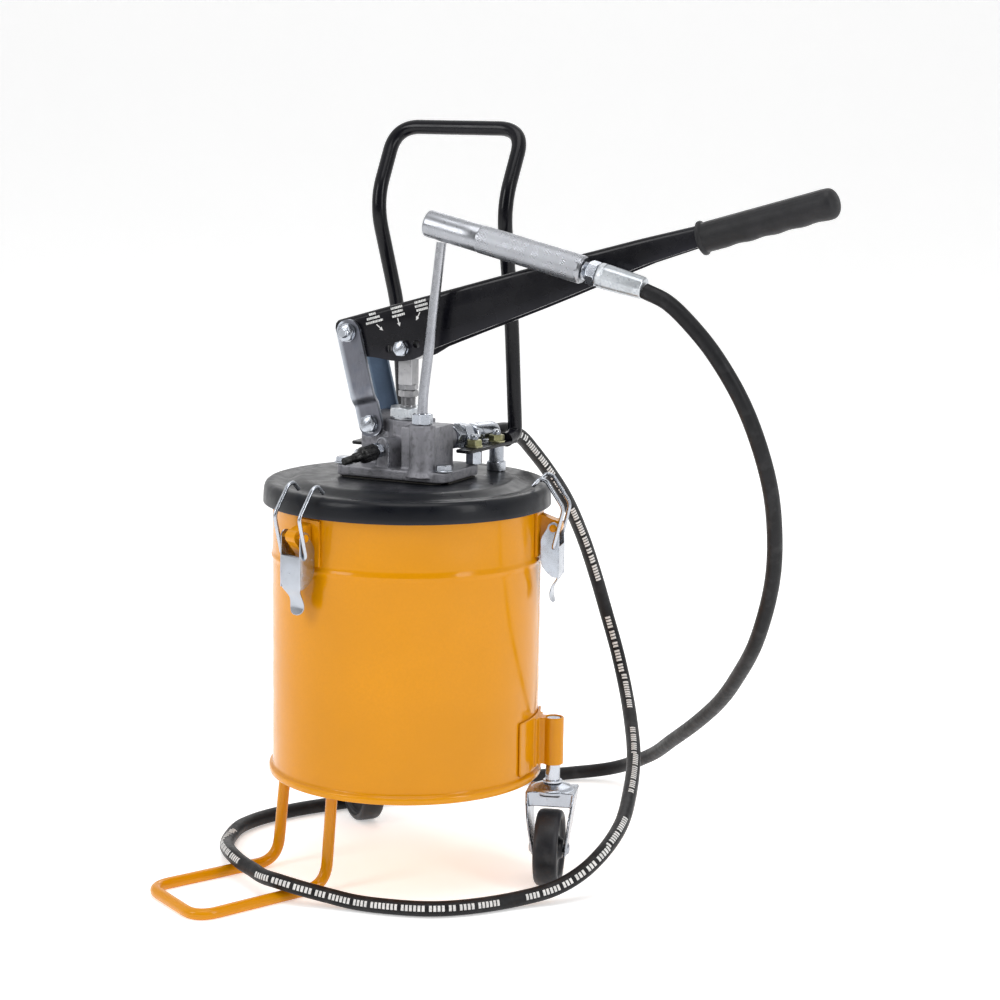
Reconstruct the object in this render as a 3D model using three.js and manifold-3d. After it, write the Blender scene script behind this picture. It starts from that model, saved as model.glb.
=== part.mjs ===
// Lever-operated bucket pump for gear oil, in millimetres, +Z up.
//
// A steel bucket stands on a rod foot loop and two swivel casters. Its pressed lid is held by three
// toggle latches and carries a cast pump head. A long lever swings on two links and works a plunger
// in a barrel that reaches down into the oil. The oil leaves through a hose that ends in a gun, and
// the gun's nozzle is parked in a fitting on the pump head.
//
// Pump frame used below: the bucket's axis is x = y = 0, the floor is z = 0, and +x points along the
// lever. The whole group is shifted at the end, so that its origin is under the middle of the pump.

import * as THREE from 'three';
import { mergeVertices } from 'three/addons/utils/BufferGeometryUtils.js';
import Module from 'manifold-3d';

const wasm = await Module();
wasm.setup();

// ---------------------------------------------------------------- driving dimensions
const gap = 0.3; // clearance between neighbours that touch
const originX = 119.05; // middle of the pump in the pump frame, without the hose
const originY = -39;

const bucket = { radius: 125, wall: 1.4, rimBottom: 99.6, floor: 106, bead: 305.7, top: 362 };
const lid = { lip: 355, radius: 133.6, rimTop: 374, plateau: 378, domeRadius: 100, hole: 30, skin: 1.5 };
const latchAngles = { left: 253.5, right: 13.5, rear: 133.5 };
const casterAngles = { right: 13.5, rear: 133.5 };

const latch = {
  pivot: [141, 338], // radius and height of the lever's pin
  bailPivot: [141.8, 319.5],
  halfWidth: 13,
  faceRadius: 147,
};
const bail = { wire: 1.9, halfWidth: 16, kink: [151, 357], crown: [131.5, 383], tip: [122, 376.6] };

const caster = { stemRadius: 142.5, trail: 15, wheelRadius: 36, tread: 23, forkTop: 92, spread: 0.12 };
const trailAngles = { right: 287, rear: 140 };
const foot = {
  rod: 5.5,
  bend: 22,
  pressed: 0.4, // how far the rod is flattened against the ground
  lean: 9,
  left: [-109.7, -52.4],
  right: [-31.5, -95.1],
  farLeft: [-170.8, -177.4],
  farRight: [-88.2, -223.7],
};

const plate = { halfX: 58, halfY: 40, corner: 12, bottom: 379.6, top: 389.6 };
const castingTop = 432;
const boss = { x: 32, y: -32, radius: 12 };
const barrel = { outer: 24, inner: 21, bottom: 135 };
const pistonHeight = 252;

const leverAngle = 16.2 * Math.PI / 180;
const pivotU = [-51.6, 510]; // lever to links
const pivotL = [-30.1, 426.1]; // links to casting
const pivotP = [3, 498.2]; // lever to plunger
const leverHalf = 18;
const leverSheet = 2.5;
const gripStart = 347;
const gripEnd = 476;

const gunY = -32;
const handleTube = 7;
const hoseRadius = 7;

// The hose leaves the pump head backwards, drops to the floor in a wide arc, crosses in front of
// the casters, loops round the foot, runs back under the bucket and climbs to the gun.
const hoseRoute = [
  [41.1, 94.7, 411.5], [44.6, 116, 410.8], [48, 142, 401], [51, 164, 385], [55, 190, 363],
  [60, 224, 330], [62.5, 264, 283], [66, 291, 238], [72, 307, 196.5], [85, 306, 159],
  [104, 285.5, 126], [127, 247, 103], [155, 190, 83], [178, 127, 66], [195, 65, 52],
  [197, 14.5, 38.5], [187, -9, 25.5], [170, -28, 14.5], [146, -52, 8.5], [115, -90, 7.5],
  [87, -112, 7.5], [53, -124, 7.5], [20, -130, 8], [-5, -135, 11.5], [-29, -141, 16],
  [-54, -143, 19.7], [-74, -135, 18.4], [-93, -123, 18.2], [-111, -113, 18.8],
  [-128, -101, 19.7], [-150, -76, 15.5], [-168, -50, 10.5], [-183, -20, 7.5], [-191, 9, 7.5],
  [-190, 33, 7.5], [-184, 56, 7.5], [-171, 86, 7.5], [-154, 113, 7.5], [-128, 150, 7.5],
  [-100, 190, 7.5], [-66, 240, 7.5], [-25, 296, 7.5], [16, 336, 8], [60, 355, 15],
  [120, 316, 47], [168, 260, 84], [221, 197, 127], [258, 153, 161], [286, 117, 193],
  [321, 73, 244], [343, 46, 305], [351, 24, 356], [352, -2, 407], [337, -22, 466],
  [313.5, -31, 508.5], [291, -32, 534], [267, -32, 554], [246, -32, 562.8],
];
const hoseSteps = 68;

// ---------------------------------------------------------------- materials
const paints = {
  yellow: [0xf0a010, 0.35, 0.1],
  black: [0x15161a, 0.35, 0.2],
  casting: [0x85868a, 0.55, 0.7],
  zinc: [0xc4c8cc, 0.3, 0.9],
  brassZinc: [0x8a8456, 0.35, 0.8],
  steel: [0x9a9da1, 0.35, 0.9],
  rubber: [0x161616, 0.7, 0],
  gasket: [0x2c2a26, 0.9, 0],
};

function material(name) {
  const [color, roughness, metalness] = paints[name];
  return new THREE.MeshStandardMaterial({ color, roughness, metalness });
}

const pump = new THREE.Group();
pump.position.set(-originX, -originY, 0);

// Adds one named piece to the pump.
function add(name, geometry, paint) {
  const mesh = new THREE.Mesh(geometry, material(paint));
  mesh.name = name;
  pump.add(mesh);
}

// ---------------------------------------------------------------- shape helpers
const rad = THREE.MathUtils.degToRad;

function toSolid(geometry) {
  const bare = geometry.index ? geometry.toNonIndexed() : geometry.clone();
  bare.deleteAttribute('normal');
  bare.deleteAttribute('uv');
  const merged = mergeVertices(bare, 1e-3);
  const vertProperties = merged.attributes.position.array;
  const triVerts = new Uint32Array(merged.index.array);
  return new wasm.Manifold(new wasm.Mesh({ numProp: 3, vertProperties, triVerts }));
}

function toGeometry(solid) {
  const mesh = solid.getMesh();
  const geometry = new THREE.BufferGeometry();
  geometry.setAttribute('position', new THREE.BufferAttribute(mesh.vertProperties, 3));
  geometry.setIndex(new THREE.BufferAttribute(mesh.triVerts, 1));
  return geometry;
}

function join(...geometries) {
  const solids = geometries.map(toSolid);
  return toGeometry(solids.reduce((sum, solid) => sum.add(solid)));
}

function cut(geometry, ...tools) {
  return toGeometry(tools.map(toSolid).reduce((rest, tool) => rest.subtract(tool), toSolid(geometry)));
}

// A body of revolution about z: the profile lists [radius, height] counter-clockwise.
function turned(profile, segments = 24) {
  const points = profile.map(([r, z]) => new THREE.Vector2(r, z));
  return new THREE.LatheGeometry(points, segments).rotateX(Math.PI / 2);
}

// The same, with the profile closed on itself.
function ring(profile, segments = 24) {
  return turned([...profile, profile[0]], segments);
}

function tubeRing(inner, outer, low, high, segments = 24) {
  return ring([[inner, low], [outer, low], [outer, high], [inner, high]], segments);
}

function cylinder(radius, low, high, segments = 16) {
  return new THREE.CylinderGeometry(radius, radius, high - low, segments)
    .rotateX(Math.PI / 2)
    .translate(0, 0, (low + high) / 2);
}

// A hexagon prism about z, given the width across its flats.
function hexagon(flats, low, high) {
  return cylinder(flats / Math.sqrt(3), low, high, 6);
}

function box(x0, x1, y0, y1, z0, z1) {
  return new THREE.BoxGeometry(x1 - x0, y1 - y0, z1 - z0)
    .translate((x0 + x1) / 2, (y0 + y1) / 2, (z0 + z1) / 2);
}

function outline(points) {
  return new THREE.Shape(points.map(([x, y]) => new THREE.Vector2(x, y)));
}

// A flat piece drawn in x and y, from height low to high.
function flat(shape, low, high, curveSegments = 6) {
  const options = { depth: high - low, bevelEnabled: false, curveSegments };
  return new THREE.ExtrudeGeometry(shape, options).translate(0, 0, low);
}

// A flat piece drawn in x and z, from y = front to y = back.
function upright(shape, front, back, curveSegments = 6) {
  return flat(shape, 0, back - front, curveSegments).rotateX(Math.PI / 2).translate(0, back, 0);
}

// A bar with round ends about two points.
function roundedBar([x1, y1], [x2, y2], radius) {
  const along = Math.atan2(y2 - y1, x2 - x1);
  const shape = new THREE.Shape();
  shape.absarc(x1, y1, radius, along + Math.PI / 2, along + 1.5 * Math.PI);
  shape.absarc(x2, y2, radius, along - Math.PI / 2, along + Math.PI / 2);
  shape.closePath();
  return shape;
}

// Turns a piece made along z so that it points along the given direction from a point.
function aim(geometry, from, direction) {
  const turn = new THREE.Quaternion().setFromUnitVectors(
    new THREE.Vector3(0, 0, 1),
    new THREE.Vector3(...direction).normalize(),
  );
  return geometry.applyQuaternion(turn).translate(...from);
}

// A round rod that follows straight runs joined by rounded corners.
function rod(points, cornerCut, radius, steps, sides = 8) {
  const corners = points.map((p) => new THREE.Vector3(...p));
  const path = new THREE.CurvePath();
  let start = corners[0];
  for (let i = 1; i < corners.length - 1; i += 1) {
    const corner = corners[i];
    const before = corners[i - 1].clone().sub(corner);
    const after = corners[i + 1].clone().sub(corner);
    const reach = Math.min(cornerCut, before.length() * 0.45, after.length() * 0.45);
    const enter = corner.clone().add(before.setLength(reach));
    const leave = corner.clone().add(after.setLength(reach));
    path.add(new THREE.LineCurve3(start, enter));
    path.add(new THREE.QuadraticBezierCurve3(enter, corner, leave));
    start = leave;
  }
  path.add(new THREE.LineCurve3(start, corners[corners.length - 1]));
  return sweep(path, radius, steps, sides);
}

function sweep(path, radius, steps, sides) {
  const section = [];
  for (let i = 0; i < sides; i += 1) {
    const angle = (2 * Math.PI * (i + 0.5)) / sides;
    section.push([radius * Math.cos(angle), radius * Math.sin(angle)]);
  }
  return new THREE.ExtrudeGeometry(outline(section), { extrudePath: path, steps, bevelEnabled: false });
}

// A curved band that lies against the bucket's wall, centred on +x.
function wallBand(inner, outer, halfDegrees) {
  const shape = new THREE.Shape();
  shape.absarc(0, 0, outer, -rad(halfDegrees), rad(halfDegrees));
  shape.absarc(0, 0, inner, rad(halfDegrees), -rad(halfDegrees), true);
  shape.closePath();
  return shape;
}

// Moves a piece made on the +x side to its place round the bucket.
function around(geometry, degrees) {
  return geometry.rotateZ(rad(degrees));
}

// ---------------------------------------------------------------- bucket, lid and gasket
function bucketShell() {
  const { radius: r, wall, rimBottom, floor, bead, top } = bucket;
  const inside = r - wall;
  return turned([
    [0, floor], [r - 1.2, floor], [r - 1.2, rimBottom], [r + 3.5, rimBottom],
    [r + 3.5, rimBottom + 6.5], [r, rimBottom + 7.5], [r, bead - 4], [r + 1.2, bead],
    [r, bead + 4], [r, top - 4], [r + 3.2, top - 2.5], [r + 3.2, top + 3],
    [r + 1.5, top + 4.6], [inside, top + 4.6], [inside, floor + wall], [0, floor + wall],
  ], 32);
}

function lidShell() {
  const { lip, radius: r, rimTop, plateau, domeRadius, hole, skin } = lid;
  const outer = [
    [r, lip], [r - 0.8, rimTop - 5], [r - 4, rimTop], [r - 12, rimTop], [r - 20, rimTop - 1.6],
    [domeRadius + 8, rimTop - 0.6], [domeRadius - 4, plateau], [hole, plateau],
  ];
  const inner = [
    [hole, plateau - skin], [domeRadius - 4, plateau - skin], [domeRadius + 8, rimTop - 0.6 - skin],
    [r - 20, rimTop - 1.6 - skin], [r - 12, rimTop - skin], [r - 5, rimTop - skin],
    [r - 2.3, rimTop - 6], [r - skin, lip],
  ];
  return ring([...outer, ...inner], 32);
}

add('bucket_shell', bucketShell(), 'yellow');
add('lid', lidShell(), 'black');
add('lid_gasket', tubeRing(123.9, 127.6, bucket.top + 4.9, bucket.top + 8.8, 28), 'gasket');

// ---------------------------------------------------------------- foot loop
// A bent rod: two legs weld to the bucket's floor, two runs lie on the ground, one bar closes them.
function footLoop() {
  const top = bucket.floor - gap;
  const low = foot.rod * 0.924 - foot.pressed;
  const half = ([x, y], far) => {
    const inward = 1 - foot.lean / Math.hypot(x, y);
    return [[x * inward, y * inward, top], [x, y, low], [...far, low]];
  };
  const points = [...half(foot.left, foot.farLeft), ...half(foot.right, foot.farRight).reverse()];
  const bent = rod(points, foot.bend, foot.rod, 48);
  const ground = box(-600, 600, -600, 600, -20, 0);
  const ceiling = box(-600, 600, -600, 600, top, top + 20);
  return cut(bent, ground, ceiling);
}

add('foot_loop', footLoop(), 'yellow');

// ---------------------------------------------------------------- casters
// Each caster is drawn with its stem on the z axis, then carried to its place.
function casterPlace(geometry, degrees) {
  const a = rad(degrees);
  return geometry.translate(caster.stemRadius * Math.cos(a), caster.stemRadius * Math.sin(a), 0);
}

// The wheel trails behind the stem: the piece is drawn trailing towards +x, then turned.
function trailing(geometry, side) {
  return casterPlace(geometry.rotateZ(rad(trailAngles[side])), casterAngles[side]);
}

function casterBracket() {
  const { stemRadius } = caster;
  const socket = tubeRing(7.2, 9.5, 113, 158, 16);
  const web = box(bucket.radius + 1 - stemRadius, -8.2, -8, 8, 113, 158);
  const wing = wallBand(bucket.radius + 0.4, bucket.radius + 2.6, 13);
  return join(socket, web, flat(wing, 109, 160).translate(-stemRadius, 0, 0));
}

function casterFork() {
  const { trail, wheelRadius: r, tread, forkTop } = caster;
  const inner = tread / 2 + 3;
  const outer = inner + 2.5;
  const side = new THREE.Shape();
  side.moveTo(-15, forkTop - 3);
  side.lineTo(-13, 70);
  side.lineTo(trail - 7, r - 4);
  side.absarc(trail, r, 8, 1.25 * Math.PI, 2 * Math.PI);
  side.lineTo(trail + 14, 66);
  side.lineTo(17, forkTop - 3);
  side.closePath();
  // The cheeks spread towards the crown.
  const cheek = (sign) => {
    const [front, back] = sign > 0 ? [inner, outer] : [-outer, -inner];
    const spread = new THREE.Matrix4().makeShear(0, 0, 0, 0, 0, sign * caster.spread);
    return upright(side, front, back).translate(0, 0, -r).applyMatrix4(spread).translate(0, 0, r);
  };
  const top = outer + caster.spread * (forkTop - r - 3);
  const roof = box(-15, 17, -top, top, forkTop - 6, forkTop - 2);
  const crown = turned([[0, 86], [20, 86], [20, forkTop - 1], [9, forkTop + 3], [0, forkTop + 3]], 16);
  return join(cheek(1), cheek(-1), roof, crown);
}

function casterStem() {
  return join(cylinder(6.6, caster.forkTop + 3 + gap, 157, 14), cylinder(9, caster.forkTop + 3.3, 97.6, 14));
}

function casterWheel() {
  const { trail, wheelRadius: r, tread } = caster;
  const h = tread / 2;
  const profile = [
    [4.4, -h - 1.5], [9, -h - 1.5], [r - 8, -h + 3], [r - 6.5, -h], [r - 2, -h], [r, -h + 3],
    [r, h - 3], [r - 2, h], [r - 6.5, h], [r - 8, h - 3], [9, h + 1.5], [4.4, h + 1.5],
  ];
  // A facet faces straight down, so the wheel stands on a flat.
  const segments = 24;
  const flatten = 1 / Math.cos(Math.PI / segments);
  const scaled = profile.map(([x, y]) => [x * (x > 20 ? flatten : 1), y]);
  return ring(scaled, segments).rotateZ(Math.PI / segments).rotateX(Math.PI / 2).translate(trail, 0, r);
}

function casterAxle() {
  const { trail, wheelRadius: r, tread } = caster;
  const end = tread / 2 + 5.3;
  const profile = [
    [0, -end - 2.6], [5.6, -end - 2.6], [5.6, -end], [3.8, -end], [3.8, end], [5.6, end], [5.6, end + 2.6],
    [0, end + 2.6],
  ];
  return turned(profile, 12).rotateX(Math.PI / 2).translate(trail, 0, r);
}

for (const [side, degrees] of Object.entries(casterAngles)) {
  add(`caster_bracket_${side}`, casterPlace(casterBracket().rotateZ(rad(degrees)), degrees), 'yellow');
  add(`caster_stem_${side}`, trailing(casterStem(), side), 'zinc');
  add(`caster_fork_${side}`, trailing(join(casterFork(), casterAxle()), side), 'zinc');
  add(`caster_wheel_${side}`, trailing(casterWheel(), side), 'rubber');
}

// ---------------------------------------------------------------- latches
// Drawn on the +x side of the bucket: x is the radius and y runs round the wall.
// The pin is riveted into the bracket's tab.
function latchBracket() {
  const wall = bucket.radius + 0.4;
  const [px, pz] = latch.pivot;
  const tab = new THREE.Shape();
  tab.moveTo(wall + 1, pz - 26);
  tab.lineTo(wall + 3, pz - 26);
  tab.lineTo(px + 4, pz - 5);
  tab.absarc(px, pz, 6.5, -0.9, Math.PI / 2);
  tab.lineTo(wall + 1, pz + 12);
  tab.closePath();
  const backPlate = flat(wallBand(wall, wall + 2.2, 7), pz - 27.5, pz + 14);
  return join(backPlate, upright(tab, -6, 6), latchPin());
}

function latchLever() {
  const { pivot: [px, pz], faceRadius: face, halfWidth: w } = latch;
  const cheek = new THREE.Shape();
  cheek.moveTo(face, pz - 46);
  cheek.lineTo(face, pz - 18);
  cheek.lineTo(face - 1, pz);
  cheek.absarc(px, pz, 5.6, 0, Math.PI);
  cheek.lineTo(px - 11.5, pz - 12);
  cheek.lineTo(px - 11.5, pz - 34);
  cheek.lineTo(px - 3, pz - 44);
  cheek.closePath();
  const faceShape = outline([
    [face, pz - 17], [face - 1.4, pz - 17], [face - 1.4, pz - 46], [face - 6, pz - 54],
    [face - 8.4, pz - 62], [face - 7.4, pz - 71], [face - 6, pz - 71], [face - 7, pz - 62],
    [face - 4.5, pz - 53.5], [face, pz - 46],
  ]);
  const tailHalf = 8.5;
  const tailCut = (side) => {
    const [left, right] = side > 0 ? [tailHalf, 40] : [-40, -tailHalf];
    return box(face - 12, face + 6, left, right, pz - 80, pz - 48.5);
  };
  const channel = join(
    upright(cheek, w - 1.4, w),
    upright(cheek, -w, 1.4 - w),
    upright(faceShape, -w, w),
  );
  return cut(channel, tailCut(1), tailCut(-1), ...latchHoles());
}

function latchHoles() {
  const hole = (radius, [x, z]) => cylinder(radius, -30, 30, 10).rotateX(Math.PI / 2).translate(x, 0, z);
  return [hole(2.5, latch.pivot), hole(2.7, latch.bailPivot)];
}

function latchPin() {
  const [px, pz] = latch.pivot;
  const end = latch.halfWidth + gap;
  const profile = [
    [0, -end - 1.4], [3.6, -end - 1.4], [3.6, -end], [2.1, -end], [2.1, end], [3.6, end], [3.6, end + 1.4],
    [0, end + 1.4],
  ];
  return turned(profile, 10).rotateX(Math.PI / 2).translate(px, 0, pz);
}

function latchBail() {
  const { wire, halfWidth: w, kink, crown, tip } = bail;
  const [bx, bz] = latch.bailPivot;
  const leg = (side) => [
    [tip[0], side * w, tip[1]],
    [crown[0] - 3, side * w, crown[1] + 1],
    [crown[0] + 3, side * w, crown[1] - 1],
    [kink[0], side * w, kink[1]],
    [bx, side * w, bz],
  ];
  return rod([...leg(-1), ...leg(1).reverse()], 3.5, wire, 36, 5);
}

for (const [side, degrees] of Object.entries(latchAngles)) {
  add(`latch_bracket_${side}`, around(latchBracket(), degrees), 'yellow');
  add(`latch_lever_${side}`, around(latchLever(), degrees), 'zinc');
  add(`latch_bail_${side}`, around(latchBail(), degrees), 'zinc');
}

// ---------------------------------------------------------------- pump head casting
const boltPlaces = [[-52, -28], [52, -28], [54, 29], [-54, 29]];
const outletFrom = [27, 8, 413.6];
const outletTo = [41, 94, 411.5];
const outletWay = outletTo.map((v, i) => v - outletFrom[i]);
const outletLength = Math.hypot(...outletWay);
const valveFrom = [-8, -33, 407];
const valveWay = [-0.42, -0.88, -0.2];

function plateOutline(grow) {
  const x = plate.halfX + grow;
  const y = plate.halfY + grow;
  const c = plate.corner;
  return outline([
    [-x + c, -y], [x - c, -y], [x, -y + c], [x, y - c], [x - c, y], [-x + c, y], [-x, y - c], [-x, -y + c],
  ]);
}

function casting() {
  const low = plate.bottom;
  const top = castingTop;
  const base = flat(plateOutline(0), low, plate.top);
  const block = box(-42, -8, -13.5, 13.5, low + 4, 420);
  const tower = join(cylinder(19, low + 4, top, 20), box(-6, 19, -19, 19, low + 4, top));
  const lug = upright(roundedBar([pivotL[0], 398], pivotL, 11.5), -13.5, 13.5, 8);
  const parking = cylinder(boss.radius, low + 4, top, 20).translate(boss.x, boss.y, 0);
  const web = box(10, boss.x + 8, boss.y, 14, low + 4, top - 4);
  const outlet = aim(cylinder(10.5, -4, 17, 16), outletFrom, outletWay);
  const pad = new THREE.Shape();
  pad.moveTo(-10, -24);
  pad.lineTo(10, -24);
  pad.lineTo(10, 0);
  pad.absarc(0, 0, 10, 0, Math.PI);
  pad.closePath();
  const valvePad = upright(pad, -1, 22).rotateZ(rad(-25)).translate(...valveFrom);
  const body = join(base, block, tower, lug, parking, web, outlet, valvePad);
  return cut(
    body,
    cylinder(barrel.outer + gap, low - 5, low + 6, 24),
    cylinder(9, low, top + 5, 16),
    cylinder(glandBore, glandFloor, top + 5, 20),
    cylinder(5.6, 404, top + 5, 12).translate(boss.x, boss.y, 0),
    cylinder(5.3, -40, 40, 12).rotateX(Math.PI / 2).translate(pivotL[0], 0, pivotL[1]),
    aim(cylinder(6.4, -2, 30, 12), outletFrom, outletWay),
    aim(cylinder(3.2, -26, 0, 8), outletFrom, outletWay),
    aim(cylinder(4.2, -14, 6, 12), valveFrom, valveWay),
    ...boltPlaces.map(([x, y]) => cylinder(4.4, low - 5, low + 20, 10).translate(x, y, 0)),
  );
}

const glandBore = 12;
const glandFloor = 408;

add('pump_casting', casting(), 'casting');

const gasketHoles = boltPlaces.map(([x, y]) => cylinder(4.6, 370, 390, 8).translate(x, y, 0));
const gasketSheet = flat(plateOutline(-1), lid.plateau + gap, plate.bottom - gap);
add('casting_gasket', cut(gasketSheet, cylinder(25, 370, 390, 24), ...gasketHoles), 'gasket');

// Screws at the two front corners of the plate.
boltPlaces.slice(0, 2).forEach(([x, y], i) => {
  const head = hexagon(13, plate.top + gap, plate.top + 6);
  const screw = join(cylinder(4, 380, plate.top + 2, 10), head);
  add(`flange_bolt_${i + 1}`, screw.translate(x, y, 0), 'zinc');
});

// ---------------------------------------------------------------- plunger, barrel and valves
const rodRadius = 7;
const bolt = { radius: 5, slotX: 0.8, slotHalf: 2.2, slotRadius: 5, pin: 4 };

add('gland_packing', tubeRing(rodRadius + gap, glandBore - gap, glandFloor + gap, 418, 20), 'gasket');
add('gland_nut', cut(
  join(
    cylinder(glandBore - gap, 418.4, castingTop + 1, 20),
    hexagon(32, castingTop + gap, 443).rotateZ(rad(26)),
  ),
  cylinder(rodRadius + gap, 400, 460, 20),
), 'zinc');

// The plunger's square head is hidden between the lever's cheeks. Its slot leaves the pin room.
function plungerRod() {
  const bar = box(-7, 7, -7, 7, 463, 487);
  const head = upright(roundedBar([-2.6, pivotP[1]], [3.4, pivotP[1]], 13), -13, 13, 6);
  const slot = roundedBar(
    [bolt.slotX - bolt.slotHalf, pivotP[1]],
    [bolt.slotX + bolt.slotHalf, pivotP[1]],
    bolt.slotRadius,
  );
  const stem = cylinder(rodRadius, pistonHeight + gap, 464, 20);
  const nut = hexagon(16, 452, 463.5);
  return cut(join(bar, head, stem, nut), upright(slot, -20, 20, 6));
}

function piston() {
  const r = barrel.inner - 0.6;
  const groove = barrel.inner - 3.5;
  const h = pistonHeight;
  return turned([
    [0, h - 16], [r, h - 16], [r, h - 11.5], [groove, h - 11.5], [groove, h - 4.5], [r, h - 4.5], [r, h],
    [0, h],
  ], 24);
}

add('plunger_rod', plungerRod(), 'steel');
add('piston', piston(), 'steel');
add('piston_seal', tubeRing(barrel.inner - 3.2, barrel.inner - gap, pistonHeight - 11.2, pistonHeight - 4.8),
  'rubber');
add('pump_barrel', tubeRing(barrel.inner, barrel.outer, barrel.bottom, plate.bottom + 5.4), 'steel');

const seat = barrel.bottom - gap;
add('foot_valve_seat', ring([
  [6, seat - 9], [barrel.outer, seat - 9], [barrel.outer, seat], [barrel.inner, seat],
  [barrel.inner, seat - 5], [10, seat - 5], [6, seat - 7.5],
]), 'steel');
add('foot_valve_ball', new THREE.SphereGeometry(9, 12, 8).rotateX(Math.PI / 2)
  .translate(0, 0, seat + 1.3), 'steel');
add('oil_strainer', ring([
  [17, bucket.floor + 4], [barrel.outer - 1, bucket.floor + 4], [barrel.outer - 1, seat - 9.3],
  [20.5, seat - 9.3], [20.5, bucket.floor + 6.5], [17, bucket.floor + 6.5],
]), 'zinc');

// ---------------------------------------------------------------- outlet and parking fitting
function outletPiece(geometry) {
  return aim(geometry, outletFrom, outletWay);
}

add('outlet_valve_ball', outletPiece(new THREE.SphereGeometry(5.4, 12, 8).translate(0, 0, 4.6)), 'steel');
add('outlet_adaptor', outletPiece(join(
  tubeRing(3.5, 6.1, 15, 46, 12),
  cut(hexagon(22, 17.4, 29), cylinder(4, 10, 40, 12)),
)), 'zinc');
add('outlet_swivel_nut', outletPiece(cut(hexagon(22, 31, 45.5), cylinder(6.4, 20, 60, 12))), 'zinc');
add('outlet_ferrule', outletPiece(join(
  cylinder(6, 46.3, 54, 12),
  turned([[0, 50], [9.2, 50], [10.4, 53], [10.4, 78], [9.4, outletLength], [0, outletLength]], 16),
)), 'zinc');

add('parking_fitting', cut(
  join(cylinder(5.3, 412, castingTop + 1, 12), hexagon(17, castingTop + gap, 442)),
  cylinder(4.9, 405, 460, 12),
).translate(boss.x, boss.y, 0), 'zinc');

// ---------------------------------------------------------------- bleed valve
function valvePiece(geometry) {
  return aim(geometry, valveFrom, valveWay);
}

add('bleed_valve_neck', valvePiece(join(cylinder(3.9, -12, 9, 12), hexagon(12, 3.6, 8.4))), 'zinc');
add('bleed_valve_knob', valvePiece(turned([
  [0, 9.3], [7, 9.3], [8, 11], [8, 24], [6.4, 26], [4.6, 26], [4.6, 33], [3.6, 34], [3.6, 45], [0, 45],
], 16)), 'black');

// ---------------------------------------------------------------- push handle
// A tube bent into a U. Its legs lean forward over the pump and the grip is cranked back.
function handleFrame() {
  const leg = (side) => handleLeg.map(([half, y, z]) => [side * half, y, z]);
  const tube = rod([...leg(-1), ...leg(1).reverse()], 26, handleTube, 50);
  const feet = [-1, 1].map((side) => {
    const shape = outline([[-8, 4], [8, 4], [12, 98], [-5, 98]].map(([x, y]) => [x + 55, y]));
    const holes = studPlaces.map(([x, y]) => cylinder(4.4, 395, 410, 10).translate(x, y, 0));
    const shoe = cut(flat(shape, footPlate.low, footPlate.high), ...holes);
    return side > 0 ? shoe : mirrored(shoe);
  });
  return join(tube, ...feet);
}

// The mirror image across x = 0, with its faces still pointing out.
function mirrored(geometry) {
  const copy = geometry.toNonIndexed().scale(-1, 1, 1);
  const position = copy.attributes.position;
  for (let i = 0; i < position.count; i += 3) {
    const swap = new THREE.Vector3().fromBufferAttribute(position, i);
    position.setXYZ(i, position.getX(i + 1), position.getY(i + 1), position.getZ(i + 1));
    position.setXYZ(i + 1, swap.x, swap.y, swap.z);
  }
  return copy;
}

const footPlate = { low: 402.4, high: 405.4 };
const studPlaces = [[54, 29], [56.5, 71]];
const handleLeg = [
  [60, 84, 406], [60, 104, 409], [60.5, 91, 522], [67, 57, 626], [67.5, 97, 697],
];

add('handle_frame', handleFrame(), 'black');

// Each leg stands on two studs: a hexagon one on the casting and a round one on the lid.
function handleStud(end) {
  const high = footPlate.low - gap;
  const low = (end === 'front' ? plate.top : lid.plateau) + gap;
  const pillar = end === 'front'
    ? hexagon(14, low, high)
    : join(cylinder(7, low, high, 14), cylinder(9, low, low + 9, 16));
  return join(pillar, cylinder(4, high - 2, footPlate.high + 12, 10));
}

const nutRange = [footPlate.high + gap, footPlate.high + 7];

studPlaces.forEach(([x, y], i) => {
  const end = i === 0 ? 'front' : 'rear';
  const nut = hexagon(13, ...nutRange);
  const looseNut = cut(nut, cylinder(4 + gap, 400, 430, 10));
  add(`handle_stud_left_${end}`, join(handleStud(end), nut).translate(-x, y, 0), 'zinc');
  add(`handle_stud_right_${end}`, handleStud(end).translate(x, y, 0), 'zinc');
  add(`handle_nut_right_${end}`, looseNut.translate(x, y, 0), 'brassZinc');
});

// ---------------------------------------------------------------- lever and links
// The lever is drawn along +x from its pivot at the links, then tilted.
function leverPlace(geometry) {
  return geometry.rotateY(-leverAngle).translate(pivotU[0], 0, pivotU[1]);
}

// The lever's profile: [along, lower edge, upper edge, half width].
const leverStations = [
  [-14.5, -13, 10, 18], [-11, -16, 14, 18], [0, -22, 14, 18], [20, -28, 14, 18], [34, -34.5, 14, 18],
  [50, -38.6, 14, 18], [64, -38.2, 14, 18], [78, -34.5, 14, 17.5], [150, -27, 14, 15.5],
  [220, -19.4, 14, 13.5], [300, -9.6, 13, 11.5], [gripStart + 2, -7, 11.4, 10.5],
];

// A channel open below, lofted through the stations.
function leverChannel() {
  const t = leverSheet;
  const rings = leverStations.map(([x, low, high, half]) => [
    [x, -half, low], [x, -half, high - 3], [x, 3 - half, high], [x, half - 3, high], [x, half, high - 3],
    [x, half, low], [x, half - t, low], [x, half - t, high - t], [x, t - half, high - t], [x, t - half, low],
  ]);
  return loft(rings);
}

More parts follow.
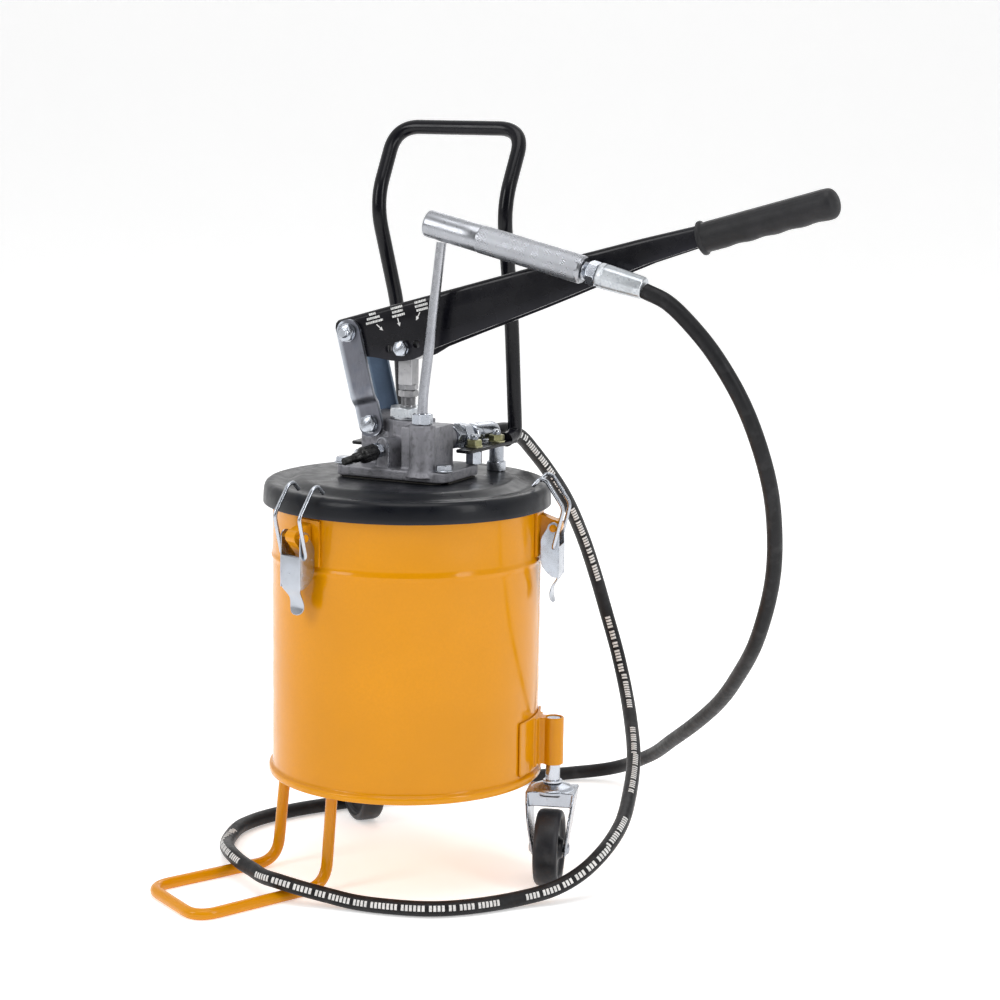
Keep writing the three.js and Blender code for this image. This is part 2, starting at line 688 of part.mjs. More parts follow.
// Joins rings of points into one closed body. Every ring has the same number of points.
function loft(rings) {
  const count = rings[0].length;
  const position = [];
  const push = (...points) => points.forEach((p) => position.push(...p));
  for (let i = 0; i < rings.length - 1; i += 1) {
    for (let j = 0; j < count; j += 1) {
      const k = (j + 1) % count;
      push(rings[i][j], rings[i + 1][k], rings[i][k]);
      push(rings[i][j], rings[i + 1][j], rings[i + 1][k]);
    }
  }
  const first = rings[0];
  const last = rings[rings.length - 1];
  const caps = THREE.ShapeUtils.triangulateShape(first.map(([, y, z]) => new THREE.Vector2(y, z)), []);
  for (const [a, b, c] of caps) {
    push(first[a], first[c], first[b]);
    push(last[a], last[b], last[c]);
  }
  const geometry = new THREE.BufferGeometry();
  geometry.setAttribute('position', new THREE.Float32BufferAttribute(position, 3));
  return geometry;
}

function leverHole(radius, [x, z]) {
  return cylinder(radius, -40, 40, 14).rotateX(Math.PI / 2).translate(x, 0, z);
}

function lever() {
  const channel = toGeometry(fixed(leverPlace(leverChannel())));
  return cut(channel, leverHole(bolt.radius + 0.15, pivotU), leverHole(bolt.pin + 0.15, pivotP));
}

// A solid whose faces point out, whichever way its rings ran.
function fixed(geometry) {
  const made = toSolid(geometry);
  if (made.volume() > 0) return made;
  throw new Error('the rings run the wrong way');
}

function grip() {
  const start = gripStart + 2.3;
  const points = [
    [0, start], [13.3, start], [15.2, start + 1], [15.2, start + 3], [13.2, start + 4.4], [13, start + 60],
    [13.4, gripEnd - 9], [12.6, gripEnd - 4.5], [10.4, gripEnd - 1.5], [7, gripEnd], [0, gripEnd],
  ];
  return leverPlace(turned(points, 18).rotateY(Math.PI / 2));
}

add('lever', lever(), 'black');
add('lever_grip', grip(), 'rubber');

// A plain bar on the far side, and on the near side a bar pressed outwards to pass the lever.
function rearLink() {
  const bar = upright(roundedBar(pivotU, pivotL, 11), 18.5, 22.5, 8);
  return cut(bar, ...[pivotU, pivotL].map((pivot) => leverHole(bolt.radius + 0.15, pivot)));
}

function frontLink() {
  const shape = roundedBar(pivotU, pivotL, 12);
  const upper = upright(shape, -23.5, -18.5, 8);
  const lower = upright(shape, -19, -14.2, 8);
  const step = 447;
  const above = cut(upper, box(-200, 200, -60, 60, 300, step));
  const below = cut(lower, box(-200, 200, -60, 60, step + 4, 700));
  const holes = [pivotU, pivotL].map((pivot) => leverHole(bolt.radius + 0.15, pivot));
  return cut(join(above, below), ...holes);
}

add('front_link', frontLink(), 'zinc');
add('rear_link', rearLink(), 'zinc');

// A bolt along y: its head is in front, its nut is behind, unless it is turned round.
function crossBolt([x, z], radius, flats, front, back) {
  const head = hexagon(flats, -front - 6, -front - gap);
  const nut = hexagon(flats, back + gap, back + 7);
  const shank = cylinder(radius, -front - 3, back + 10, 14);
  return join(head, nut, shank).rotateX(-Math.PI / 2).translate(x, 0, z);
}

add('upper_link_bolt', crossBolt(pivotU, bolt.radius - 0.15, 16, 23.5, 22.5), 'zinc');
add('lower_link_bolt', crossBolt(pivotL, bolt.radius - 0.15, 16, 19, 22.5), 'zinc');
add('plunger_bolt', crossBolt(pivotP, bolt.pin - 0.15, 13, leverHalf, leverHalf), 'zinc');

// ---------------------------------------------------------------- gun
const gunHead = { from: [36, 613.4], to: [189, 577.9], radius: 12.6 };

function gunAlong(geometry) {
  const [x0, z0] = gunHead.from;
  const [x1, z1] = gunHead.to;
  return aim(geometry, [x0, gunY, z0], [x1 - x0, 0, z1 - z0]);
}

const gunLength = Math.hypot(gunHead.to[0] - gunHead.from[0], gunHead.to[1] - gunHead.from[1]);

function gunBody() {
  const r = gunHead.radius;
  const shape = turned([
    [0, 0], [r - 1.2, 0], [r - 0.2, 1.2], [r - 0.2, 54], [r, 55], [r, gunLength - 1.5],
    [r - 1.5, gunLength], [0, gunLength],
  ], 20);
  return gunAlong(shape);
}

function gunTube() {
  const points = [[boss.x, gunY, 424], [boss.x, gunY, 455], [38.8, gunY, 508], [49.4, gunY, 596.8]];
  return rod(points, 10, 4.6, 20);
}

add('gun_handle', gunBody(), 'zinc');
add('gun_tube', gunTube(), 'steel');
add('gun_nut', gunAlong(join(
  cylinder(8.2, gunLength + gap, gunLength + 6, 14),
  hexagon(19, gunLength + 5, gunLength + 14),
)), 'zinc');
add('gun_ferrule', gunAlong(turned([
  [0, gunLength + 14.4], [8.2, gunLength + 14.4], [11.2, gunLength + 17], [11.2, gunLength + 36],
  [9.6, gunLength + 57.8], [0, gunLength + 57.8],
], 16)), 'zinc');

// ---------------------------------------------------------------- hose
function hose() {
  const points = hoseRoute.map((p) => new THREE.Vector3(...p));
  const curve = new THREE.CatmullRomCurve3(points, false, 'centripetal');
  return sweep(curve, hoseRadius, hoseSteps, 8);
}

add('hose', hose(), 'rubber');

export default pump;
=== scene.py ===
# Gear oil bucket pump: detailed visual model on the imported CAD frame.
# Shapes are drawn in the pump's own frame in millimetres: the bucket's axis is x = y = 0, the floor
# is z = 0 and +x points along the lever. place() carries them to the frame's metres.
import math
import random
import bmesh
import bpy
from mathutils import Matrix, Vector


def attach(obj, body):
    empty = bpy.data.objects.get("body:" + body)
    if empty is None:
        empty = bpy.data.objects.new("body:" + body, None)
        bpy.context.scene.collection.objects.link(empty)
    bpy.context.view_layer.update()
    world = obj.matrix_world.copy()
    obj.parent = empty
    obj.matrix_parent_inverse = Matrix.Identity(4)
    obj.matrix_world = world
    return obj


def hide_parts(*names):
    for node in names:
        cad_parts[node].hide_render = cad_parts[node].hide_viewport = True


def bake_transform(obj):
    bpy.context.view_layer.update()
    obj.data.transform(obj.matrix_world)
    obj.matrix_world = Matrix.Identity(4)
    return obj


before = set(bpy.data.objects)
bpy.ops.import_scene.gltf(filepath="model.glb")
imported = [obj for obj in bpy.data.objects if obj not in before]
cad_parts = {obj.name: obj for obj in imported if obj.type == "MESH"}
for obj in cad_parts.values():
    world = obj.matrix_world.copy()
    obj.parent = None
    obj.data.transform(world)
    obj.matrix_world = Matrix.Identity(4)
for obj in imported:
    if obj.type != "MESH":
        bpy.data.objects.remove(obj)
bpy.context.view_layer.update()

ORIGIN = Vector((119.05, -39, 0))
TAU = 2 * math.pi


def place(p):
    return (Vector(p) - ORIGIN) / 1000


# ------------------------------------------------------------------ camera
CAMERA_TURN, CAMERA_DIP, CAMERA_ROLL = 26, 9.56, 0.86
camera = bpy.data.objects.new("camera", bpy.data.cameras.new("camera"))
bpy.context.scene.collection.objects.link(camera)
camera.data.lens = 82.8
camera.data.sensor_width = 36
camera.location = (0.88275, -1.8189, 0.7115)
camera.rotation_euler = (
    Matrix.Rotation(math.radians(CAMERA_TURN), 3, "Z")
    @ Matrix.Rotation(math.radians(90 - CAMERA_DIP), 3, "X")
    @ Matrix.Rotation(math.radians(CAMERA_ROLL), 3, "Z")
).to_euler()
bpy.context.scene.camera = camera
bpy.context.scene.view_settings.view_transform = "Standard"


# ------------------------------------------------------------------ materials
def mix_colour(tree, factor, a, b):
    mix = tree.nodes.new("ShaderNodeMix")
    mix.data_type = "RGBA"
    for socket, value in ((0, factor), (6, a), (7, b)):
        if hasattr(value, "is_linked"):
            tree.links.new(value, mix.inputs[socket])
        else:
            mix.inputs[socket].default_value = value if socket == 0 else (*value[:3], 1)
    return mix.outputs[2]


def remap(tree, value, low, high, to_low, to_high):
    node = tree.nodes.new("ShaderNodeMapRange")
    for i, number in enumerate((low, high, to_low, to_high)):
        node.inputs[i + 1].default_value = number
    tree.links.new(value, node.inputs[0])
    return node.outputs[0]


def noise(tree, place_socket, scale, detail=4, kind="ShaderNodeTexNoise"):
    node = tree.nodes.new(kind)
    node.inputs["Scale"].default_value = scale
    if "Detail" in node.inputs:
        node.inputs["Detail"].default_value = detail
    tree.links.new(place_socket, node.inputs["Vector"])
    return node.outputs[0]


def surface(name, colour, rough, metal=0, vary=0.08, broad=14, fine=900, bump=0.1, depth=0.0001,
            spread=0.08, coat=0, wear=None, stretch=None, cells=False, spots=None, specular=0.5):
    """A painted, plated, cast or moulded finish: two scales of colour change, uneven roughness, fine
    relief, and worn edges."""
    made = bpy.data.materials.new(name)
    made.use_nodes = True
    tree = made.node_tree
    shader = tree.nodes["Principled BSDF"]
    where = tree.nodes.new("ShaderNodeTexCoord").outputs["Object"]
    drawn = where
    if stretch:
        mapping = tree.nodes.new("ShaderNodeMapping")
        mapping.inputs["Scale"].default_value = stretch
        tree.links.new(where, mapping.inputs["Vector"])
        drawn = mapping.outputs[0]
    clouds = noise(tree, where, broad)
    grain = noise(tree, drawn, fine, 6, "ShaderNodeTexVoronoi" if cells else "ShaderNodeTexNoise")
    dark = [c * (1 - vary) for c in colour]
    light = [min(1, c * (1 + vary)) for c in colour]
    shade = mix_colour(tree, remap(tree, clouds, 0.35, 0.65, 0, 1), dark, light)
    darkest = [c * (1 - 1.6 * vary) for c in colour]
    speck = mix_colour(tree, remap(tree, grain, 0.3, 0.7, 0, 0.5), shade, darkest)
    if spots:
        mask = remap(tree, noise(tree, where, spots[1], 8), 0.52, 0.66, 0, spots[2])
        speck = mix_colour(tree, mask, speck, spots[0])
    if wear:
        edge = tree.nodes.new("ShaderNodeNewGeometry").outputs["Pointiness"]
        speck = mix_colour(tree, remap(tree, edge, 0.52, 0.62, 0, wear[1]), speck, wear[0])
    tree.links.new(speck, shader.inputs["Base Color"])
    patch = noise(tree, where, broad * 5, 6)
    uneven = remap(tree, patch, 0.3, 0.7, max(0.03, rough - spread), rough + spread)
    tree.links.new(uneven, shader.inputs["Roughness"])
    relief = tree.nodes.new("ShaderNodeBump")
    relief.inputs["Strength"].default_value = bump
    relief.inputs["Distance"].default_value = depth
    tree.links.new(grain, relief.inputs["Height"])
    tree.links.new(relief.outputs[0], shader.inputs["Normal"])
    shader.inputs["Metallic"].default_value = metal
    shader.inputs["Specular IOR Level"].default_value = specular
    shader.inputs["Coat Weight"].default_value = coat
    shader.inputs["Coat Roughness"].default_value = 0.06
    return made


YELLOW = surface("yellow_paint", (0.665, 0.262, 0.001), 0.17, specular=0.2, vary=0.05, broad=9, fine=420,
                 bump=0.12, depth=0.00025, coat=0.1, wear=((0.86, 0.42, 0.04), 0.3))
BLACK = surface("black_paint", (0.004, 0.004, 0.0065), 0.25, specular=0.18, vary=0.25, broad=12, fine=700,
                bump=0.12, depth=0.0002, coat=0.1, wear=((0.04, 0.04, 0.05), 0.4))
LID = surface("lid_paint", (0.005, 0.006, 0.009), 0.34, specular=0.2, vary=0.22, broad=16, fine=800,
              bump=0.25, depth=0.0002, coat=0.05, wear=((0.06, 0.06, 0.07), 0.4))
CAST = surface("casting", (0.29, 0.29, 0.318), 0.44, 0.6, vary=0.2, broad=45, fine=750, bump=0.55,
               depth=0.0004, spread=0.12, cells=True, wear=((0.5, 0.5, 0.52), 0.6),
               spots=((0.11, 0.11, 0.12), 160, 0.6))
ZINC = surface("zinc", (0.41, 0.435, 0.48), 0.22, 0.95, vary=0.08, broad=30, fine=900, bump=0.06,
               spread=0.07, wear=((0.8, 0.83, 0.88), 0.5), spots=((0.42, 0.455, 0.52), 60, 0.35))
LINK = surface("link_zinc", (0.15, 0.155, 0.18), 0.36, 0.85, vary=0.14, broad=28, fine=600, bump=0.2,
               spread=0.1, stretch=(1, 1, 0.25), wear=((0.75, 0.8, 0.88), 0.7),
               spots=((0.11, 0.125, 0.16), 60, 0.6))
BLUE = surface("blue_zinc", (0.06, 0.09, 0.14), 0.36, 0.75, vary=0.15, broad=28, fine=600, bump=0.2,
               wear=((0.3, 0.38, 0.46), 0.5))
SPECKLED = surface("speckled_zinc", (0.55, 0.58, 0.61), 0.34, 0.8, vary=0.18, broad=90, fine=500, bump=0.35,
                   depth=0.0003, cells=True, wear=((0.85, 0.87, 0.9), 0.5),
                   spots=((0.33, 0.36, 0.4), 420, 0.7))
BRASSY = surface("yellow_zinc", (0.30, 0.29, 0.15), 0.34, 0.85, vary=0.15, broad=60, fine=800, bump=0.15,
                 wear=((0.7, 0.68, 0.45), 0.5), spots=((0.18, 0.2, 0.1), 150, 0.5))
STEEL = surface("steel", (0.36, 0.36, 0.37), 0.34, 0.85, vary=0.12, broad=40, fine=900, bump=0.2,
                stretch=(1, 1, 0.1), wear=((0.7, 0.7, 0.72), 0.5), spots=((0.2, 0.2, 0.22), 130, 0.5))
SATIN = surface("satin_tube", (0.34, 0.35, 0.38), 0.26, 0.95, vary=0.1, broad=40, fine=1200, bump=0.2,
                stretch=(1, 1, 0.06), wear=((0.8, 0.8, 0.82), 0.4))
GUN = surface("gun_aluminium", (0.33, 0.34, 0.365), 0.28, 0.92, vary=0.08, broad=30, fine=1300, bump=0.15,
              wear=((0.6, 0.62, 0.66), 0.5))
RUBBER = surface("rubber", (0.012, 0.012, 0.014), 0.5, specular=0.3, vary=0.3, broad=40, fine=1100, bump=0.5,
                 depth=0.0002, wear=((0.05, 0.05, 0.055), 0.5))
TYRE = surface("tyre", (0.016, 0.016, 0.019), 0.42, specular=0.3, vary=0.3, broad=30, fine=700, bump=0.35,
               depth=0.0002, wear=((0.09, 0.09, 0.1), 0.6), spots=((0.04, 0.04, 0.042), 90, 0.4))
HOSE = surface("hose_rubber", (0.011, 0.011, 0.0125), 0.46, specular=0.2, vary=0.25, broad=30, fine=850,
               bump=0.6, depth=0.00025, spots=((0.035, 0.035, 0.037), 70, 0.4))
PLASTIC = surface("black_plastic", (0.008, 0.008, 0.009), 0.3, specular=0.3, vary=0.3, broad=60, fine=1200,
                  bump=0.25, wear=((0.06, 0.06, 0.06), 0.5))
GASKET = surface("gasket", (0.03, 0.028, 0.024), 0.85, vary=0.25, broad=60, fine=900, bump=0.6, depth=0.0003)
PRINT = surface("white_print", (0.72, 0.72, 0.71), 0.6, vary=0.12, broad=150, fine=1500, bump=0.3,
                spots=((0.35, 0.35, 0.35), 500, 0.5))


# ------------------------------------------------------------------ shape helpers
# A shape is a list of points in millimetres and a list of faces.
def lathe(profile, steps=64, closed=False):
    points, faces = [], []
    for r, z in profile:
        points += [Vector((r * math.cos(TAU * i / steps), r * math.sin(TAU * i / steps), z))
                   for i in range(steps)]
    rows = len(profile)
    for j in range(rows if closed else rows - 1):
        a, b = j * steps, ((j + 1) % rows) * steps
        faces += [(a + i, a + (i + 1) % steps, b + (i + 1) % steps, b + i) for i in range(steps)]
    if not closed:
        faces.append(tuple(range(steps))[::-1])
        faces.append(tuple((rows - 1) * steps + i for i in range(steps)))
    return points, faces


def stack(rings, caps=True, closed=False):
    """Joins rings of points, all of one count, into a skin."""
    n = len(rings[0])
    points = [Vector(p) for ring in rings for p in ring]
    faces = []
    for j in range(len(rings) - (0 if closed else 1)):
        a, b = j * n, ((j + 1) % len(rings)) * n
        faces += [(a + i, a + (i + 1) % n, b + (i + 1) % n, b + i) for i in range(n)]
    if caps and not closed:
        faces.append(tuple(range(n))[::-1])
        faces.append(tuple((len(rings) - 1) * n + i for i in range(n)))
    return points, faces


def ring_at(z, count, radius):
    """A ring round the z axis. radius is a function of the angle."""
    angles = [TAU * k / count for k in range(count)]
    return [(radius(a) * math.cos(a), radius(a) * math.sin(a), z) for a in angles]


def prism(outline, low, high):
    return stack([[(x, y, z) for x, y in outline] for z in (low, high)])


def upright(outline, front, back):
    """A plate drawn in x and z, from y = front to y = back."""
    return stack([[(x, y, z) for x, z in outline] for y in (back, front)])


def block(x0, x1, y0, y1, z0, z1):
    return prism([(x0, y0), (x1, y0), (x1, y1), (x0, y1)], z0, z1)


def arc(x, y, r, start, end, count):
    return [(x + r * math.cos(math.radians(start + (end - start) * i / count)),
             y + r * math.sin(math.radians(start + (end - start) * i / count))) for i in range(count + 1)]


def bar(a, b, r, count=14):
    along = math.degrees(math.atan2(b[1] - a[1], b[0] - a[0]))
    return arc(*a, r, along + 90, along + 270, count) + arc(*b, r, along - 90, along + 90, count)


def hexagon(flats, low, high, bore=0, steps=72, ends=(True, True)):
    """A hexagon with its corners chamfered off at the ends, and a bore if asked."""
    def limit(distance):
        return flats * 0.497 + distance * 1.75
    depth = flats * 0.047
    levels = [low + depth * k / 4 for k in range(5)] + [high - depth * k / 4 for k in range(4, -1, -1)]
    rings = []
    for z in levels:
        near = min(z - low if ends[0] else 99, high - z if ends[1] else 99)
        ring = []
        for i in range(steps):
            a = TAU * i / steps
            hexed = flats / 2 / math.cos((a + TAU / 12) % (TAU / 6) - TAU / 12)
            r = min(hexed, limit(near))
            ring.append((r * math.cos(a), r * math.sin(a), z))
        rings.append(ring)
    if not bore:
        return stack(rings)
    inside = [[(bore * math.cos(TAU * i / steps), bore * math.sin(TAU * i / steps), z)
               for i in range(steps)] for z in (high, low)]
    return stack(rings + inside, closed=True)


def thread(r, low, high, pitch=1.25, depth=0.5):
    profile, z = [(0.2, low), (r - depth, low)], low
    while z + pitch < high - 0.4:
        profile += [(r - depth, z + pitch * 0.15), (r, z + pitch * 0.5), (r, z + pitch * 0.62)]
        z += pitch
    return profile + [(r - depth, high - 0.5), (r - depth - 0.5, high), (0.2, high)]


def moved(shape, matrix):
    return [matrix @ p for p in shape[0]], shape[1]


def shift(shape, x, y, z):
    return moved(shape, Matrix.Translation((x, y, z)))


def turn(shape, degrees, axis="Z"):
    return moved(shape, Matrix.Rotation(math.radians(degrees), 4, axis))


def aim(shape, start, way):
    q = Vector((0, 0, 1)).rotation_difference(Vector(way).normalized())
    return moved(shape, Matrix.Translation(start) @ q.to_matrix().to_4x4())


def merge(*shapes):
    points, faces = [], []
    for p, f in shapes:
        n = len(points)
        points += p
        faces += [tuple(i + n for i in face) for face in f]
    return points, faces


def bends(points, reach, fine=10):
    """Straight runs joined by rounded corners."""
    corners = [Vector(p) for p in points]
    path = [corners[0]]
    for i in range(1, len(corners) - 1):
        c = corners[i]
        a, b = corners[i - 1] - c, corners[i + 1] - c
        cut = min(reach, a.length * 0.45, b.length * 0.45)
        a, b = c + a.normalized() * cut, c + b.normalized() * cut
        path += [a * (1 - t) ** 2 + c * 2 * t * (1 - t) + b * t ** 2
                 for t in (k / fine for k in range(fine + 1))]
    return path + [corners[-1]]


def frames(path):
    """A steady frame along a path, without twist."""
    made, side = [], None
    for i, p in enumerate(path):
        t = (path[min(i + 1, len(path) - 1)] - path[max(i - 1, 0)]).normalized()
        if side is None:
            side = t.orthogonal().normalized()
        side = (side - t * side.dot(t)).normalized()
        made.append((p, side, t.cross(side)))
    return made


def tube(path, radius, sides=20):
    rings = []
    for i, (p, u, v) in enumerate(frames(path)):
        r = radius(i) if callable(radius) else radius
        rings.append([p + (u * math.cos(TAU * k / sides) + v * math.sin(TAU * k / sides)) * r
                      for k in range(sides)])
    return stack(rings)


def finish_mesh(mesh, crease=32):
    work = bmesh.new()
    work.from_mesh(mesh)
    bmesh.ops.recalc_face_normals(work, faces=work.faces)
    for face in work.faces:
        face.smooth = True
    for edge in work.edges:
        edge.smooth = edge.calc_face_angle(0) < math.radians(crease)
    work.to_mesh(mesh)
    work.free()


def bevelled(mesh, width, segments=3, above=32):
    work = bmesh.new()
    work.from_mesh(mesh)
    bmesh.ops.recalc_face_normals(work, faces=work.faces)
    sharp = [e for e in work.edges if e.calc_face_angle(0) > math.radians(above)]
    bmesh.ops.bevel(work, geom=sharp, offset=width / 1000, segments=segments, profile=0.6,
                    affect="EDGES", clamp_overlap=True)
    work.to_mesh(mesh)
    work.free()


def evaluated(made, *modifiers):
    """Runs modifiers on a piece and keeps the result as its mesh."""
    for kind, settings in modifiers:
        modifier = made.modifiers.new(kind, kind)
        for key, value in settings.items():
            setattr(modifier, key, value)
    bpy.context.view_layer.update()
    mesh = bpy.data.meshes.new_from_object(made.evaluated_get(bpy.context.evaluated_depsgraph_get()))
    made.modifiers.clear()
    made.data = mesh


def piece(name, shape, body, material, nodes=(), bevel=0, cast=0, crease=32, holes=(), rounds=4):
    """One piece in the frame. bevel rounds its edges, and cast fuses it into one skin of that grain."""
    mesh = bpy.data.meshes.new(name)
    mesh.from_pydata([place(p) for p in shape[0]], [], shape[1])
    mesh.validate()
    if bevel:
        bevelled(mesh, bevel)
    made = bpy.data.objects.new(name, mesh)
    bpy.context.scene.collection.objects.link(made)
    if cast:
        finish_mesh(mesh)
        evaluated(made, ("REMESH", {"mode": "VOXEL", "voxel_size": cast / 1000}),
                  ("SMOOTH", {"factor": 0.5, "iterations": rounds}))
    for hole in holes:
        tool_mesh = bpy.data.meshes.new("tool")
        tool_mesh.from_pydata([place(p) for p in hole[0]], [], hole[1])
        finish_mesh(tool_mesh)
        finish_mesh(made.data)
        tool = bpy.data.objects.new("tool", tool_mesh)
        bpy.context.scene.collection.objects.link(tool)
        evaluated(made, ("BOOLEAN", {"operation": "DIFFERENCE", "object": tool, "solver": "EXACT"}))
        bpy.data.objects.remove(tool)
    finish_mesh(made.data, 80 if cast else crease)
    made.data.materials.clear()
    made.data.materials.append(material)
    if nodes:
        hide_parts(*nodes)
    if body:
        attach(made, body)
    return made


# ------------------------------------------------------------------ hose
hose_points = [
    (41.1, 94.7, 411.5), (44.6, 116, 410.8), (48, 142, 401), (51, 164, 385), (55, 190, 363),
    (60, 224, 330), (62.5, 264, 283), (66, 291, 238), (72, 307, 196.5), (85, 306, 159),
    (104, 285.5, 126), (127, 247, 103), (155, 190, 83), (178, 127, 66), (195, 65, 52),
    (197, 14.5, 38.5), (187, -9, 25.5), (170, -28, 14.5), (146, -52, 8.5), (115, -90, 7.5),
    (87, -112, 7.5), (53, -124, 7.5), (20, -130, 8), (-5, -135, 11.5), (-29, -141, 16),
    (-54, -143, 19.7), (-74, -135, 18.4), (-93, -123, 18.2), (-111, -113, 18.8),
    (-128, -101, 19.7), (-150, -76, 15.5), (-168, -50, 10.5), (-183, -20, 7.5), (-191, 9, 7.5),
    (-190, 33, 7.5), (-184, 56, 7.5), (-171, 86, 7.5), (-154, 113, 7.5), (-128, 150, 7.5),
    (-100, 190, 7.5), (-66, 240, 7.5), (-25, 296, 7.5), (16, 336, 8), (60, 355, 15),
    (120, 316, 47), (168, 260, 84), (221, 197, 127), (258, 153, 161), (286, 117, 193),
    (321, 73, 244), (343, 46, 305), (351, 24, 356), (352, -2, 407), (337, -22, 466),
    (313.5, -31, 508.5), (291, -32, 534), (267, -32, 554), (246, -32, 562.8),
]


def smooth_route(points, spacing):
    """Centripetal Catmull-Rom through the points, resampled evenly."""
    p = [Vector(q) for q in points]
    p = [p[0] * 2 - p[1]] + p + [p[-1] * 2 - p[-2]]
    dense = []
    for i in range(1, len(p) - 2):
        d0, d1, d2 = (math.sqrt((p[k + 1] - p[k]).length) for k in (i - 1, i, i + 1))
        m1 = ((p[i] - p[i - 1]) / d0 - (p[i + 1] - p[i - 1]) / (d0 + d1) + (p[i + 1] - p[i]) / d1) * d1
        m2 = ((p[i + 1] - p[i]) / d1 - (p[i + 2] - p[i]) / (d1 + d2) + (p[i + 2] - p[i + 1]) / d2) * d1
        for k in range(60):
            t = k / 60
            dense.append(p[i] * (2 * t ** 3 - 3 * t ** 2 + 1) + m1 * (t ** 3 - 2 * t ** 2 + t)
                         + p[i + 1] * (3 * t ** 2 - 2 * t ** 3) + m2 * (t ** 3 - t ** 2))
    dense.append(p[-2])
    total = sum((b - a).length for a, b in zip(dense, dense[1:]))
    count = round(total / spacing)
    out, walked, k = [dense[0]], 0, 0
    for n in range(1, count):
        goal = total * n / count
        while walked + (dense[k + 1] - dense[k]).length < goal:
            walked += (dense[k + 1] - dense[k]).length
            k += 1
        step = (dense[k + 1] - dense[k]).length
        out.append(dense[k].lerp(dense[k + 1], (goal - walked) / step))
    return out + [dense[-1]], total


hose_path, hose_length = smooth_route(hose_points, 1.2)
HOSE_SIDES = 24
hose = piece("hose_tube", tube(hose_path, 7, HOSE_SIDES), None, HOSE, ["hose"])
hose.data.materials.append(PRINT)


def print_marks():
    """Rows of plain equal bars along the first half of the hose, on the side that faces out."""
    chance = random.Random(4)
    out = Vector((0.45, -0.85, 0.25)).normalized()
    ahead = frames(hose_path)
    faces = hose.data.polygons
    last = next(i for i, p in enumerate(hose_path) if p.x < -160)
    ring = 24
    while ring < last:
        for _ in range(chance.randint(6, 12)):
            for _ in range(chance.randint(2, 7)):
                _, u, v = ahead[ring]
                middle = round(math.atan2(v.dot(out), u.dot(out)) / TAU * HOSE_SIDES - 0.5)
                for step in (0, 1):
                    for k in (-1, 0, 1):
                        faces[(ring + step) * HOSE_SIDES + (middle + k) % HOSE_SIDES].material_index = 1
                ring += 3
            ring += 2
        ring += chance.randint(18, 40)


print_marks()

# ------------------------------------------------------------------ bucket, lid
bucket_profile = [
    (0.5, 106), (60, 106), (123, 106), (123.8, 105.4), (123.8, 100.3), (124.4, 99.6), (127.8, 99.6),
    (128.5, 100.3), (128.5, 104.9), (127.8, 106), (126, 106.7), (125.1, 107.5), (125, 109), (125, 150),
    (125, 200), (125, 250), (125, 300.2), (125.15, 302), (125.6, 303.6), (126.1, 304.8),
    (126.25, 305.7), (126.1, 306.6), (125.6, 307.8), (125.15, 309.4), (125, 311.2), (125, 335),
    (125, 356.6), (125.5, 358.2), (127.2, 359), (128.1, 360.2), (128.2, 362), (128.2, 364.2),
    (127.6, 365.9), (126.2, 366.6), (124.4, 366.4), (123.7, 365.4), (123.6, 363), (123.6, 250),
    (123.6, 109), (122, 107.5), (0.5, 107.4),
]
piece("bucket_skin", lathe(bucket_profile, 200), "base", YELLOW, ["bucket_shell"], crease=50)
seam = [[(125.02 + h, s, z) for s, h in ((-2.4, -0.3), (-1.6, 0.3), (0, 0.5), (1.6, 0.3), (2.4, -0.3))]
        for z in (108, 150, 200, 250, 300)]
piece("bucket_seam", turn(stack(seam), 62), "base", YELLOW, crease=60)

lid_profile = [
    (133.6, 355), (133.55, 359), (133.3, 364), (132.9, 368), (132.2, 370.6), (131, 372.6),
    (129.4, 373.8), (127.4, 374.2), (124, 374.15), (121.6, 373.9), (119.5, 373.3), (116.5, 372.5),
    (113.6, 372.2), (110.6, 372.4), (108, 373.3), (104, 375.2), (100.5, 376.9), (98, 377.8), (95, 378),
    (60, 378), (30.4, 378), (30, 377.6), (30, 376.9), (30.4, 376.5), (95, 376.5), (98, 376),
    (108, 371.7), (113.6, 370.6), (121.6, 372.3), (128.4, 372.5), (130.6, 369.6), (131.9, 363),
    (132, 355),
]
piece("lid_pressing", lathe(lid_profile, 200, True), "base", LID, ["lid"], crease=50)

# ------------------------------------------------------------------ foot loop
foot_top, foot_low = 105.6, 4.7
left, right = Vector((-109.7, -52.4, 0)), Vector((-31.5, -95.1, 0))
far_left, far_right = Vector((-170.8, -177.4, 0)), Vector((-88.2, -223.7, 0))


def foot_leg(p):
    inward = p * (1 - 9 / p.length)
    return [Vector((inward.x, inward.y, foot_top)), Vector((p.x, p.y, foot_low))]


loop = foot_leg(left) + [far_left + Vector((0, 0, foot_low)), far_right + Vector((0, 0, foot_low))]
loop += foot_leg(right)[::-1]
rod_shape = tube(bends(loop, 22, 12), 5.4, 28)
rod_shape = ([Vector((p.x, p.y, min(max(p.z, 0), foot_top))) for p in rod_shape[0]], rod_shape[1])
welds = [shift(lathe([(0.3, 98), (8.6, 99.2), (8.2, 101), (7, 103), (6.2, 105.5), (0.3, 105.6)], 24),
               *(foot_leg(p)[0].xy), 0) for p in (left, right)]
piece("foot_rod", merge(rod_shape, *welds), "base", YELLOW, ["foot_loop"], crease=40)

# ------------------------------------------------------------------ casters
# Where the latches and casters stand round the bucket, in degrees from +x.
STATIONS = {"left": 253.5, "right": 13.5, "rear": 133.5}
CASTER_RADIUS = 142.5
AXLE_X, AXLE_Z = 15, 36


def wall_band(inner, outer, half, low, high, count=16):
    band = arc(0, 0, outer, -half, half, count) + arc(0, 0, inner, half, -half, count)
    return prism(band, low, high)


